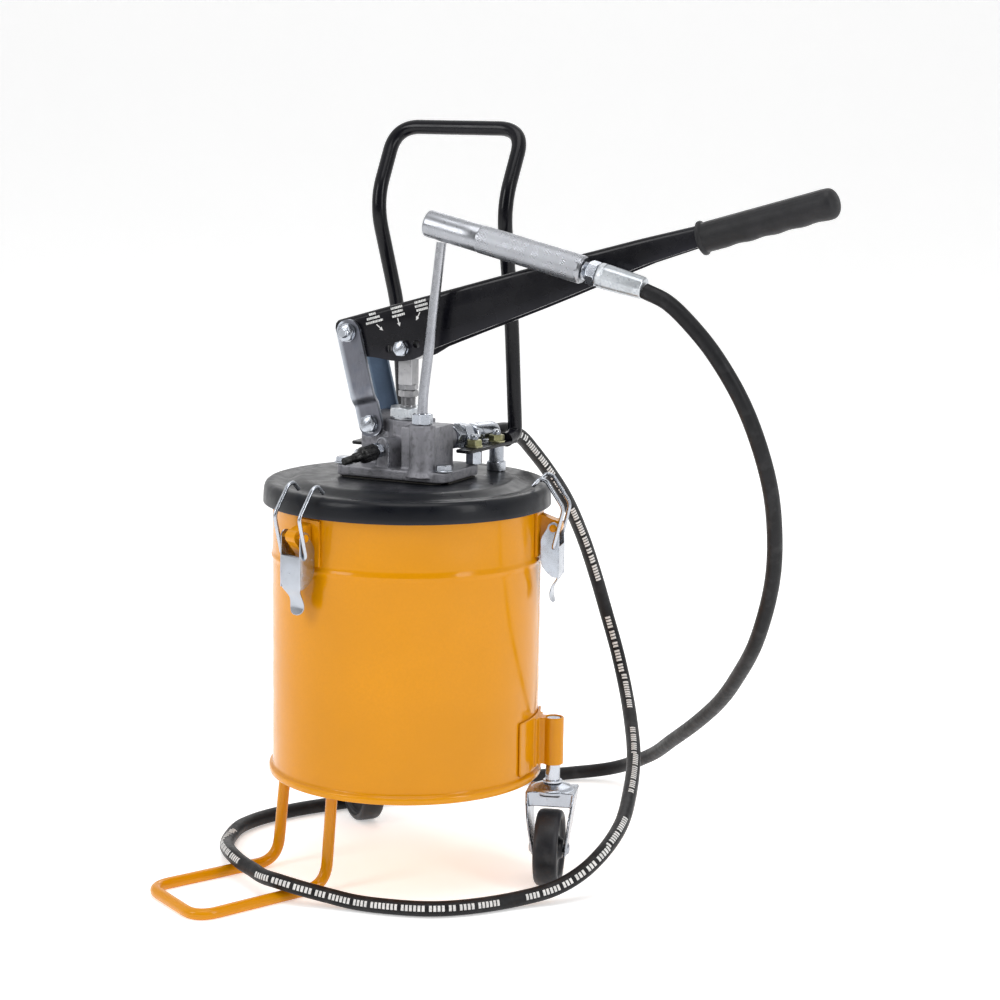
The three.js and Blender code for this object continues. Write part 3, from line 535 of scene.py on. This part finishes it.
def caster_bracket():
    socket = lathe([(7.2, 113), (9.5, 113), (9.5, 158), (7.2, 158)], 40, True)
    web = block(-17.2, -8.2, -7.4, 7.4, 113.5, 157.5)
    wing = shift(turn(wall_band(125.3, 127.6, 16, 109, 160), -3), -CASTER_RADIUS, 0, 0)
    fold = shift(wall_band(126, 130.2, 6.5, 112, 158), -CASTER_RADIUS, 0, 0)
    beads = [shift(lathe([(0.1, -1.6), (1.1, -1.2), (1.6, 0), (1.1, 1.2), (0.1, 1.6)], 10),
                   -CASTER_RADIUS + 126.4 * math.cos(math.radians(a)), 126.4 * math.sin(math.radians(a)), z)
             for a in (-19, 13) for z in range(112, 159, 2)]
    return merge(socket, web, wing, fold, *beads)


def caster_fork():
    inner, outer = 14.5, 17.0
    side = [(-15, 89), (-14.4, 80), (-13, 70), (-3, 50), (8, 32)] + arc(AXLE_X, AXLE_Z, 8, 225, 360, 10)
    side += [(26.5, 50), (29, 66), (24, 80), (17, 89)]
    shapes = []
    for s in (1, -1):
        plate = upright(side, inner if s > 0 else -outer, outer if s > 0 else -inner)
        shear = Matrix(((1, 0, 0, 0), (0, 1, s * 0.12, -s * 0.12 * AXLE_Z), (0, 0, 1, 0), (0, 0, 0, 1)))
        shapes.append(moved(plate, shear))
    shapes.append(block(-15, 17, -22.6, 22.6, 86, 89.6))
    shapes += [block(14.7, 17, -21.5, 21.5, 75.5, 89), block(-15, -12.8, -21.5, 21.5, 79, 89)]
    shapes.append(lathe([(0.2, 86), (19.4, 86), (20, 87), (20, 90), (18, 91.6), (13, 93.2), (9, 94.6),
                         (0.2, 94.9)], 40))
    shapes += [aim(lathe([(0.2, 0), (5.4, 0), (5.6, 0.6), (5, 1.8), (3, 2.5), (0.2, 2.7)], 24),
                   (AXLE_X, s * 16.7, AXLE_Z), (0, s, 0)) for s in (1, -1)]
    shapes.append(aim(lathe([(0.2, -17), (3.8, -17), (3.8, 17), (0.2, 17)], 24), (AXLE_X, 0, AXLE_Z),
                      (0, 1, 0)))
    return merge(*shapes)


tyre_profile = [(27, -8.6), (28.6, -10.6), (30.4, -11.4), (33.4, -11.2), (35.2, -9.6), (35.9, -6.5), (36, 0),
                (35.9, 6.5), (35.2, 9.6), (33.4, 11.2), (30.4, 11.4), (28.6, 10.6), (27, 8.6)]
hub_profile = [(4.5, -12.8), (8.2, -12.9), (9, -12.4), (9.6, -10.4), (12, -8.2), (24.5, -7.2), (27.4, -8.2),
               (27.4, 8.2), (24.5, 7.2), (12, 8.2), (9.6, 10.4), (9, 12.4), (8.2, 12.9), (4.5, 12.8)]

for side, trail in (("right", 287), ("rear", 140)):
    angle = STATIONS[side]
    cx = CASTER_RADIUS * math.cos(math.radians(angle))
    cy = CASTER_RADIUS * math.sin(math.radians(angle))

    def trailing(shape):
        return shift(turn(shape, trail), cx, cy, 0)

    piece(f"caster_socket_{side}", shift(turn(caster_bracket(), angle), cx, cy, 0), "base", YELLOW,
          [f"caster_bracket_{side}"], cast=0.75, rounds=3)
    stem = merge(lathe([(0.2, 95.3), (6.2, 95.3), (6.6, 95.8), (6.6, 156.2), (6, 157), (0.2, 157)], 40),
                 lathe([(0.2, 95.4), (8.6, 95.4), (9, 95.8), (9, 97.2), (8.6, 97.6), (0.2, 97.6)], 40))
    piece(f"caster_pin_{side}", trailing(stem), "base", ZINC, [f"caster_stem_{side}"])
    piece(f"caster_cheeks_{side}", trailing(caster_fork()), f"fork_{side}", ZINC,
          [f"caster_fork_{side}"], cast=0.7, rounds=4)
    wheel = trailing(aim(lathe(tyre_profile, 72, True), (AXLE_X, 0, AXLE_Z), (0, 1, 0)))
    piece(f"caster_tyre_{side}", wheel, f"wheel_{side}", TYRE, [f"caster_wheel_{side}"], crease=50)
    piece(f"caster_hub_{side}", trailing(aim(lathe(hub_profile, 56, True), (AXLE_X, 0, AXLE_Z), (0, 1, 0))),
          f"wheel_{side}", TYRE, crease=40)

# ------------------------------------------------------------------ latches
# Drawn on the bucket's +x side: x is the radius.
LATCH_PIN = (141, 338)


def latch_bracket():
    tab = [(126, 312), (128, 312), (145, 333)] + arc(*LATCH_PIN, 6.5, -50, 90, 10) + [(126, 350)]
    rivet = [(0.2, -14.7), (2.6, -14.6), (3.5, -14), (3.6, -13.3), (2.1, -13.3), (2.1, 13.3), (3.6, 13.3),
             (3.5, 14), (2.6, 14.6), (0.2, 14.7)]
    return merge(wall_band(125.4, 127.6, 7, 310.6, 352), upright(tab, -6, 6),
                 aim(lathe(rivet, 24), (LATCH_PIN[0], 0, LATCH_PIN[1]), (0, 1, 0)))


def strip(stations, thick):
    """A bent strip: each station gives radius, height and half width."""
    rings = []
    for i, (r, z, half) in enumerate(stations):
        a, b = stations[max(i - 1, 0)], stations[min(i + 1, len(stations) - 1)]
        way = Vector((b[0] - a[0], b[1] - a[1])).normalized()
        nr, nz = way.y * thick, -way.x * thick
        crown = 0.35
        rings.append([(r, -half, z), (r + crown * 0.5, -half * 0.5, z), (r + crown, 0, z),
                      (r + crown * 0.5, half * 0.5, z), (r, half, z), (r + nr, half, z + nz),
                      (r + nr, 0, z + nz), (r + nr, -half, z + nz)])
    return stack(rings)


def latch_lever():
    cheek = [(147, 292), (147.2, 306), (147, 320), (146.6, 334)] + arc(*LATCH_PIN, 5.6, 0, 180, 12)
    cheek += [(130.6, 330), (129.5, 326), (129.5, 308), (131, 302), (136, 296), (141, 292.4)]
    face = [
        (146.8, 321, 13), (146.9, 310, 13), (146.9, 300, 13), (146.8, 295, 13), (146.2, 292, 12.2),
        (145.2, 289.8, 11), (143.8, 287.6, 9.8), (142, 285.2, 8.8), (140.4, 282.4, 8.3),
        (139.2, 279, 8.5), (138.7, 276, 8.9), (138.9, 273, 8.8), (139.7, 270.2, 7.6),
        (140.6, 268.4, 5.6), (141.2, 267.4, 2.6),
    ]
    return merge(upright(cheek, 11.7, 13), upright(cheek, -13, -11.7), strip(face, 1.3))


def latch_bail():
    legs = [[(122, s * 16, 376.6), (128.5, s * 16, 384), (134.5, s * 16, 382), (151, s * 16, 357),
             (141.8, s * 16, 319.5)] for s in (-1, 1)]
    return tube(bends(legs[0] + legs[1][::-1], 5, 8), 1.85, 12)


for side, angle in STATIONS.items():
    piece(f"latch_mount_{side}", turn(latch_bracket(), angle), "base", YELLOW,
          [f"latch_bracket_{side}"], bevel=0.5)
    piece(f"latch_channel_{side}", turn(latch_lever(), angle), f"latch_{side}", ZINC,
          [f"latch_lever_{side}"], bevel=0.45)
    piece(f"latch_hook_{side}", turn(latch_bail(), angle), f"bail_{side}", ZINC,
          [f"latch_bail_{side}"], crease=50)

# ------------------------------------------------------------------ pump head
outlet_from, outlet_to = Vector((27, 8, 413.6)), Vector((41, 94, 411.5))
outlet_way = outlet_to - outlet_from
valve_from, valve_way = (-8, -33, 407), (-0.42, -0.88, -0.2)


def rounded_plate(x, y, corner, low, high):
    corners = ((x, y, 0), (-x, y, 90), (-x, -y, 180), (x, -y, 270))
    line = []
    for cx, cy, start in corners:
        line += arc(cx - math.copysign(corner, cx), cy - math.copysign(corner, cy), corner, start,
                    start + 90, 8)
    return prism(line, low, high)


arch = [(-10, -24), (10, -24)] + arc(0, 0, 10, 0, 180, 16)
casting_parts = [
    rounded_plate(57.6, 39.6, 13, 380, 389.2),
    block(-42, -8, -13.5, 13.5, 384, 420),
    lathe([(0.3, 384), (22, 384), (19.6, 389), (19, 396), (19, 431), (18, 431.8), (0.3, 431.8)], 56),
    block(-6, 19, -19, 19, 384, 431.4),
    upright(bar((-30.1, 398), (-30.1, 426.1), 11.4), -13.5, 13.5),
    shift(lathe([(0.3, 384), (15, 384), (12.6, 389), (12, 395), (12, 430.4), (11, 431.8), (0.3, 431.8)], 48),
          32, -32, 0),
    block(10, 40, -32, 14, 384, 428),
    aim(lathe([(0.3, -4), (10.5, -4), (10.5, 16), (9.6, 17), (0.3, 17)], 40), outlet_from, outlet_way),
    shift(turn(upright(arch, -1, 22), -25), *valve_from),
]
piece("pump_head", merge(*casting_parts), "base", CAST, ["pump_casting"], cast=0.8, rounds=6)
piece("casting_edge", shift(turn(merge(upright(
    [(10.3, -17)] + arc(0, 0, 10.3, 0, 180, 20) + [(-10.3, -17), (-9.2, -17)] + arc(0, 0, 9.2, 180, 0, 20)
    + [(9.2, -17)], -1.5, 0.2)), -25), *valve_from), "base", SATIN, bevel=0.35)

for i, (x, y) in enumerate(((-52, -28), (52, -28))):
    screw = merge(hexagon(13, 391.2, 395.6, ends=(False, True)),
                  lathe([(0.3, 389.9), (8.6, 389.9), (9, 390.4), (9, 390.8), (8.6, 391.2), (0.3, 391.2)],
                        40))
    piece(f"plate_screw_{i + 1}", shift(turn(screw, 12 + 25 * i), x, y, 0), "base", ZINC,
          [f"flange_bolt_{i + 1}"])

nut = merge(turn(hexagon(32, 433.2, 443, bore=7.4), 26),
            lathe([(7.4, 432.2), (15.4, 432.2), (15.4, 433.3), (7.4, 433.3)], 48, True))
piece("packing_nut", nut, "base", SPECKLED, ["gland_nut"])
fitting = merge(hexagon(17, 432.3, 441.6, bore=4.95),
                lathe([(4.95, 441), (6.4, 441), (6.2, 442), (4.95, 442)], 40, True))
piece("nozzle_park", shift(turn(fitting, 14), 32, -32, 0), "base", ZINC, ["parking_fitting"])

# The plunger: square bar, lock nut, threaded end and the polished rod below.
plunger = merge(
    lathe([(0.3, 252.4), (6.8, 252.4), (7, 253), (7, 444), (6.6, 444.4)] + [
        p for k in range(10) for p in ((6.5, 444.6 + k * 0.85), (7, 445 + k * 0.85))]
          + [(6.6, 453), (0.3, 453)], 48),
    hexagon(16, 452, 458.2), turn(hexagon(16, 458.6, 463.5), 10),
)
piece("plunger_stem", plunger, "plunger", STEEL, ["plunger_rod"])
head = merge(block(-7, 7, -7, 7, 463.2, 488), upright(bar((-2.6, 498.2), (3.4, 498.2), 12.6), -12.6, 12.6))
piece("plunger_bar", head, "plunger", STEEL, bevel=0.7)

# ------------------------------------------------------------------ outlet
adaptor = merge(
    hexagon(22, 17.6, 29, bore=4),
    lathe([(4, 29), (8.4, 29), (8.4, 30.9), (4, 30.9)], 40, True),
    lathe([(4, 15.6), (6.1, 15.6), (6.1, 17.8), (4, 17.8)], 40, True),
)
piece("outlet_union", aim(turn(adaptor, 8), outlet_from, outlet_way), "base", ZINC,
      ["outlet_adaptor"])
swivel = merge(hexagon(22, 31, 43, bore=6.4),
               lathe([(6.4, 42.6), (9.6, 42.6), (9.2, 45.2), (6.4, 45.5)], 48, True))
piece("outlet_nut", aim(turn(swivel, 27), outlet_from, outlet_way), "base", ZINC,
      ["outlet_swivel_nut"])
ferrule = [
    (0.3, 46), (6, 46), (6, 49.6), (8.8, 50), (10, 51.4), (10.4, 53.2), (10.4, 57), (10.05, 57.4),
    (10.05, 58.6), (10.4, 59), (10.4, 77), (10.2, 79), (9.7, 86), (9.2, 87.1), (7.2, 87.1), (7.1, 84),
    (0.3, 84),
]
piece("outlet_sleeve", aim(lathe(ferrule, 56), outlet_from, outlet_way), "base", ZINC,
      ["outlet_ferrule"])

# ------------------------------------------------------------------ bleed valve
neck = merge(hexagon(12, 3.6, 8.4), lathe([(0.3, -6), (3.9, -6), (3.9, 9), (0.3, 9)], 32))
piece("bleed_screw", aim(neck, valve_from, valve_way), "base", ZINC, ["bleed_valve_neck"])
knob = []
knob_stations = [
    (9.3, 6.4, 0), (9.8, 7.2, 0), (11, 7.9, 0.35), (13, 8, 0.6), (17, 8, 0.7), (21, 8, 0.6),
    (23.6, 7.8, 0.3), (25, 7, 0), (26, 5.6, 0), (26.4, 4.7, 0), (32.6, 4.6, 0), (33.4, 4.2, 0),
    (34, 3.6, 0), (37, 3.6, 0), (37.3, 3.3, 0), (38, 3.3, 0), (38.3, 3.6, 0), (44.2, 3.6, 0),
    (45, 3, 0),
]
for z, r, flute in knob_stations:
    knob.append(ring_at(z, 80, lambda a: r - flute * (0.5 + 0.5 * math.cos(10 * a))))
piece("bleed_knob_grip", aim(stack(knob), valve_from, valve_way), "bleed_knob", PLASTIC,
      ["bleed_valve_knob"], crease=40)

# ------------------------------------------------------------------ push handle
legs = [[(s * 60, 84, 406), (s * 60, 104, 409), (s * 60.5, 91, 522), (s * 67, 57, 626), (s * 67.5, 97, 697)]
        for s in (-1, 1)]
bow = tube(bends(legs[0] + legs[1][::-1], 26, 16), 6.9, 28)
bow = ([Vector((p.x, p.y, min(p.z, 703.9))) for p in bow[0]], bow[1])
piece("handle_bow", bow, "base", BLACK, ["handle_frame"], crease=50)
for s, side in ((-1, "left"), (1, "right")):
    line = [(s * (x + 55), y)
            for x, y in ((-8, 6), (-6, 4), (6, 4), (8, 6), (12, 95), (10, 98), (-3, 98), (-5, 96))]
    piece(f"handle_shoe_{side}", prism(line, 402.4, 405.4), "base", BLACK, bevel=0.8)
    front = merge(hexagon(14, 389.9, 402.1), lathe(thread(4, 401, 417.4), 32))
    rear = merge(lathe([(0.3, 378.3), (8.6, 378.3), (9, 378.8), (9, 386.6), (8.4, 387.3), (7, 387.3),
                        (7, 401.6), (6.6, 402.1), (0.3, 402.1)], 48), lathe(thread(4, 401, 417.4), 32))
    nuts = merge(hexagon(13, 406.8, 412.4),
                 lathe([(4.2, 405.7), (8, 405.7), (8, 406.8), (4.2, 406.8)], 40, True))
    for end, shape, x, y in (("front", front, s * 54, 29), ("rear", rear, s * 56.5, 71)):
        nodes = [f"handle_stud_{side}_{end}"]
        piece(f"stud_{side}_{end}", shift(turn(shape, 20), x, y, 0), "base", ZINC, nodes)
        nodes = [f"handle_nut_right_{end}"] if s > 0 else []
        piece(f"stud_nut_{side}_{end}", shift(turn(nuts, 35 if end == "front" else 8), x, y, 0), "base",
              BRASSY, nodes)

# ------------------------------------------------------------------ lever and links
PIVOT_U, PIVOT_L, PIVOT_P = (-51.6, 510), (-30.1, 426.1), (3, 498.2)
LEVER_TILT = 16.2
SPARE_HOLES = ((-11.2, 496.9), (17.1, 502.8))
MARK_FACE, MARK_BACK = -18.14, -17.9


def on_lever(shape):
    return shift(turn(shape, -LEVER_TILT, "Y"), PIVOT_U[0], 0, PIVOT_U[1])


def pin_hole(radius, x, z, front=-40, back=40):
    return aim(lathe([(0.1, front), (radius, front), (radius, back), (0.1, back)], 32), (x, 0, z), (0, 1, 0))


lever_stations = [
    (-14.5, -13, 10, 18), (-13.6, -14.4, 12.4, 18), (-11, -16, 14, 18), (0, -22, 14, 18),
    (10, -25.3, 14, 18), (20, -28.6, 14, 18), (34, -34.6, 14, 18), (42, -37.2, 14, 18),
    (50, -38.6, 14, 18), (57, -38.9, 14, 18), (64, -38.2, 14, 18), (71, -36.4, 14, 17.8),
    (78, -34.5, 14, 17.5), (110, -31, 14, 16.7), (150, -27, 14, 15.5), (185, -23.4, 14, 14.5),
    (220, -19.4, 14, 13.5), (260, -14.3, 13.5, 12.5), (300, -9.6, 13, 11.5), (349, -7, 11.4, 10.5),
]
rings = []
for x, low, high, half in lever_stations:
    r = 4.5
    outer = [(-half, low)] + [(-half, low + (high - r - low) * k / 3) for k in (1, 2)]
    outer += [(-half + r - r * math.cos(a), high - r + r * math.sin(a))
              for a in (math.radians(15 * k) for k in range(7))]
    outer += [(-u, w) for u, w in outer[::-1]]
    t = 2.5
    inner = [(half - t, low), (half - t, high - r)] + [
        (half - t - 2 + 2 * math.cos(a), high - t - 2 + 2 * math.sin(a))
        for a in (0, math.pi / 4, math.pi / 2)]
    inner += [(-u, w) for u, w in inner[::-1]]
    rings.append([(x, u, w) for u, w in outer + inner])
piece("lever_channel", on_lever(stack(rings)), "lever", BLACK, ["lever"], crease=40, holes=[
    pin_hole(5.15, *PIVOT_U), pin_hole(4.15, *PIVOT_P),
    *(pin_hole(3.6, *spare) for spare in SPARE_HOLES),
])

grip_rings = []
for k in range(0, 141):
    u = 126.7 * k / 140
    r = 13.1 + 0.003 * u
    if u < 4.4:
        r = 15.2 - 1.4 * max(0, abs(u - 2) - 0.9) ** 1.3
    wave = 0.55 * (1 - math.cos((u - 20) * TAU / 24)) if 20 < u < 116 else 0
    ring = []
    for j in range(72):
        a = TAU * j / 72
        under = max(0, -math.sin(a) - 0.2)
        out = r - wave * under
        if 8 < u < 116 and j % 3 == 0 and math.sin(a) > -0.5:
            out += 0.14
        if u > 117:
            out = out - 13.4 + 13.4 * math.sqrt(max(0.01, 1 - ((u - 117) / 9.9) ** 2.6))
        ring.append((349.3 + u, max(out, 1) * math.cos(a), max(out, 1) * math.sin(a)))
    grip_rings.append(ring)
piece("lever_hand_grip", on_lever(stack(grip_rings)), "lever", RUBBER, ["lever_grip"], crease=50)


def block_row(x, z, width, height, seed):
    """A row of small blank blocks that run along the lever, centred on x and z."""
    chance, shapes, u = random.Random(seed), [], -width / 2
    while u < width / 2:
        w = min(chance.choice((0.9, 1.3, 1.3, 1.8)), width / 2 - u + 0.2)
        shapes.append(turn(block(u, u + w, MARK_FACE, MARK_BACK, -height / 2, height / 2), -LEVER_TILT, "Y"))
        u += w + 0.45
    return [shift(s, x, 0, z) for s in shapes]


def arrow(a, b):
    a, b = Vector(a), Vector(b)
    way = (b - a).normalized()
    side = Vector((-way.y, way.x))
    neck = b - way * 3.4
    line = [a + side * 0.45, neck + side * 0.45, neck + side * 1.7, b, neck - side * 1.7, neck - side * 0.45,
            a - side * 0.45]
    return [upright([tuple(p) for p in line], MARK_FACE, MARK_BACK)]


marks = []
for gx, gz, widths in ((-27.4, 524.4, (7, 14, 18)), (-2.4, 531.6, (12, 11, 13)), (22, 538.4, (12, 13, 12))):
    for k, width in enumerate(widths):
        marks += block_row(gx + (k - 1) * 1.1, gz - (k - 1) * 3.5, width, 2.1, int(gx) + k)
for start, end in (((-24, 518.6), (-17.2, 513.4)), ((-2.1, 525.6), (0.3, 518)), ((20.8, 532), (17, 524.6))):
    marks += arrow(start, end)
piece("lever_marks", merge(*marks), "lever", PRINT)

slope = Vector((PIVOT_L[0] - PIVOT_U[0], 0, PIVOT_L[1] - PIVOT_U[1])).normalized()
across = Vector((slope.z, 0, -slope.x))
length = Vector((PIVOT_L[0] - PIVOT_U[0], PIVOT_L[1] - PIVOT_U[1])).length


def link_shape(near, thick, jog, radius):
    """A pressed bar with round ends. jog is how far the lower end is set back."""
    rings, rows = [], []
    for k in range(13):
        a = math.pi * k / 24
        rows.append((-radius * math.cos(a), radius * math.sin(a)))
    rows += [(s, radius) for s in (12, 30, 50, 60, 64, 66, 68, 70, 74, 80)]
    rows += [(length + radius * math.sin(math.pi * k / 24), radius * math.cos(math.pi * k / 24))
             for k in range(13)]
    for s, half in rows:
        t = min(max((s - 60) / 9, 0), 1)
        back = jog * t * t * (3 - 2 * t)
        half = max(half, 0.05)
        mid = Vector((PIVOT_U[0], 0, PIVOT_U[1])) + slope * s
        rings.append([mid + across * (half * u) + Vector((0, near + back + w, 0))
                      for u, w in ((-1, 0), (-0.5, 0), (0, 0), (0.5, 0), (1, 0), (1, thick), (0, thick),
                                   (-1, thick))])
    return stack(rings)


holes = [pin_hole(5.15, *PIVOT_U), pin_hole(5.15, *PIVOT_L)]
piece("link_front", link_shape(-22.6, 3.9, 4.3, 12), "links", LINK, ["front_link"], bevel=0.6,
      crease=40, holes=holes)
piece("link_rear", link_shape(18.6, 3.8, 0, 11), "links", BLUE, ["rear_link"], bevel=0.5, crease=40,
      holes=holes)


def cross_bolt(x, z, r, flats, front, back, washer):
    shape = merge(
        turn(hexagon(flats, -front - 6, -front - 1.3, ends=(True, False)), 20),
        lathe([(0.3, -front - 1.5), (washer, -front - 1.5), (washer, -front - 0.3), (0.3, -front - 0.3)],
              48),
        turn(hexagon(flats, back + 1.3, back + 7), 40),
        lathe([(0.3, back + 0.3), (washer, back + 0.3), (washer, back + 1.5), (0.3, back + 1.5)], 48),
        lathe([(0.3, -front - 3), (r, -front - 3), (r, back + 1)] + thread(r, back + 1, back + 10)[1:], 36),
    )
    return aim(shape, (x, 0, z), (0, 1, 0))


tip = aim(lathe(thread(4.6, 0, 4.6), 32), (PIVOT_U[0], -29, PIVOT_U[1]), (0, -1, 0))
piece("bolt_upper", merge(cross_bolt(*PIVOT_U, 4.85, 15, 23.2, 22.5, 8.6), tip), "links", ZINC,
      ["upper_link_bolt"])
piece("bolt_lower", cross_bolt(*PIVOT_L, 4.85, 15, 18.6, 22.5, 8.4), "base", ZINC,
      ["lower_link_bolt"])
piece("bolt_plunger", cross_bolt(*PIVOT_P, 3.85, 12.6, 18, 18, 6.9), "lever", ZINC, ["plunger_bolt"])

# ------------------------------------------------------------------ gun
gun_a, gun_b = Vector((36, -32, 613.4)), Vector((189, -32, 577.9))
gun_way = gun_b - gun_a
gun_length = gun_way.length


def along_gun(shape):
    return aim(shape, gun_a, gun_way)


gun_rings = []
steps = 216
heights = [0, 0.4, 1.2, 2.4, 20, 40, 53.4, 54.2, 54.8]
heights += [55.4 + 0.7 * k for k in range(int((gun_length - 59) / 0.7))]
heights += [gun_length - 3, gun_length - 2, gun_length - 1.2, gun_length - 0.3, gun_length]
for z in heights:
    ring = []
    for k in range(steps):
        a = TAU * k / steps
        r = 12.35
        if z < 2.4:
            r = 11.4 + 0.95 * math.sqrt(max(0, 1 - (1 - z / 2.4) ** 2))
        elif 53.4 <= z <= 54.8:
            r = 12.05 if z == 54.2 else 12.35
        elif 55 < z < gun_length - 3.2:
            r = 12.6 - 0.34 * max(abs(math.sin(18 * a + z * 0.9)), abs(math.sin(18 * a - z * 0.9))) ** 3
        elif z >= gun_length - 3.2:
            r = 12.5 if z < gun_length - 1.5 else 11.9 if z < gun_length - 0.5 else 11.2
        ring.append((r * math.cos(a), r * math.sin(a), z))
    gun_rings.append(ring)
piece("gun_grip", along_gun(stack(gun_rings)), "gun", GUN, ["gun_handle"], crease=50)
nozzle = bends([(32, -32, 424), (32, -32, 455), (38.8, -32, 508), (49.4, -32, 596.8)], 14, 10)
piece("gun_nozzle", tube(nozzle, 4.6, 28), "gun", SATIN, ["gun_tube"], crease=50)
collar = merge(lathe([(6.4, 0.3)] + [p for k in range(5) for p in ((7.6, 0.4 + k), (8.2, 0.8 + k))]
                     + [(6.4, 5.6)], 40, True),
               turn(hexagon(19, 5, 14, bore=6.4), 12))
piece("gun_collar", along_gun(shift(collar, 0, 0, gun_length)), "gun", ZINC, ["gun_nut"])
sleeve = []
sleeve_stations = [
    (14.4, 9.4), (14.9, 10.4), (16, 11.1), (20, 11.2), (20.4, 10.7), (21.6, 10.7), (22, 11.15),
    (34, 10.8), (46, 10.2), (55, 9.8), (57.2, 9.5), (57.8, 8.8),
]
for z, r in sleeve_stations:
    sleeve.append(ring_at(z, 96, lambda a: max(min(r, r * 0.965 / math.cos(a % (TAU / 8) - TAU / 16)), 7.3)))
piece("gun_sleeve", along_gun(shift(stack(sleeve), 0, 0, gun_length)), "gun", SPECKLED,
      ["gun_ferrule"])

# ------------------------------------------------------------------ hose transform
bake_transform(hose)

# ------------------------------------------------------------------ CAD parts that stay
kept = {
    "lid_gasket": GASKET, "casting_gasket": GASKET, "gland_packing": GASKET, "piston_seal": RUBBER,
    "piston": STEEL, "pump_barrel": STEEL, "foot_valve_seat": STEEL, "foot_valve_ball": STEEL,
    "oil_strainer": ZINC, "outlet_valve_ball": STEEL,
}
for name, paint in kept.items():
    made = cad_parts[name]
    if not made.material_slots:
        raise RuntimeError(name + " has no material slot")
    for slot in made.material_slots:
        slot.material = paint

# ------------------------------------------------------------------ floor and light
floor_mesh = bpy.data.meshes.new("floor")
floor_rows = [(y, 0) for y in (-6, 4)] + [(4 + 2 * math.sin(a), 2 - 2 * math.cos(a))
                                          for a in (math.radians(9 * k) for k in range(1, 11))] + [(6, 7)]
turned = Matrix.Rotation(math.radians(CAMERA_TURN), 4, "Z")
floor_mesh.from_pydata([turned @ Vector((x, y, z)) for y, z in floor_rows for x in (-9, 9)], [],
                       [(2 * i, 2 * i + 1, 2 * i + 3, 2 * i + 2) for i in range(len(floor_rows) - 1)])
finish_mesh(floor_mesh, 60)
floor = bpy.data.objects.new("floor", floor_mesh)
bpy.context.scene.collection.objects.link(floor)
paper = surface("floor_paper", (0.93, 0.93, 0.93), 0.85, vary=0.006, broad=2, fine=60, bump=0.02,
                specular=0.1)
paper.node_tree.nodes["Principled BSDF"].inputs["Emission Color"].default_value = (1, 1, 1, 1)
paper.node_tree.nodes["Principled BSDF"].inputs["Emission Strength"].default_value = 0.42
floor_mesh.materials.append(paper)

# The studio is white behind the pump and darker in front of it, so that metal has something to mirror.
world = bpy.data.worlds.new("studio")
bpy.context.scene.world = world
world.use_nodes = True
sky = world.node_tree
facing = sky.nodes.new("ShaderNodeVectorMath")
facing.operation = "DOT_PRODUCT"
facing.inputs[1].default_value = (-0.42, 0.86, 0.28)
sky.links.new(sky.nodes.new("ShaderNodeTexCoord").outputs["Generated"], facing.inputs[0])
strength = remap(sky, facing.outputs["Value"], -0.7, 0.5, 0.1, 1.0)
seen = sky.nodes.new("ShaderNodeMath")
seen.operation = "MAXIMUM"
sky.links.new(strength, seen.inputs[0])
sky.links.new(sky.nodes.new("ShaderNodeLightPath").outputs["Is Camera Ray"], seen.inputs[1])
sky.links.new(seen.outputs[0], sky.nodes["Background"].inputs["Strength"])
sky.nodes["Background"].inputs["Color"].default_value = (1, 1, 1, 1)


def softbox(name, where, size, watts, target=(0, 0, 0.3)):
    light = bpy.data.objects.new(name, bpy.data.lights.new(name, "AREA"))
    light.data.shape = "RECTANGLE"
    light.data.size, light.data.size_y = size
    light.data.energy = watts
    light.location = where
    light.rotation_euler = (Vector(target) - Vector(where)).to_track_quat("-Z", "Y").to_euler()
    bpy.context.scene.collection.objects.link(light)


softbox("softbox_left", (-1.2, -2.0, 1.5), (0.8, 1.4), 20)
softbox("softbox_right", (2.1, -0.5, 1.2), (0.5, 1.7), 17)
softbox("softbox_top", (0.3, -0.5, 2.6), (1.6, 1.6), 20)
softbox("softbox_back", (-0.8, 2.2, 1.8), (1.2, 1.2), 8)
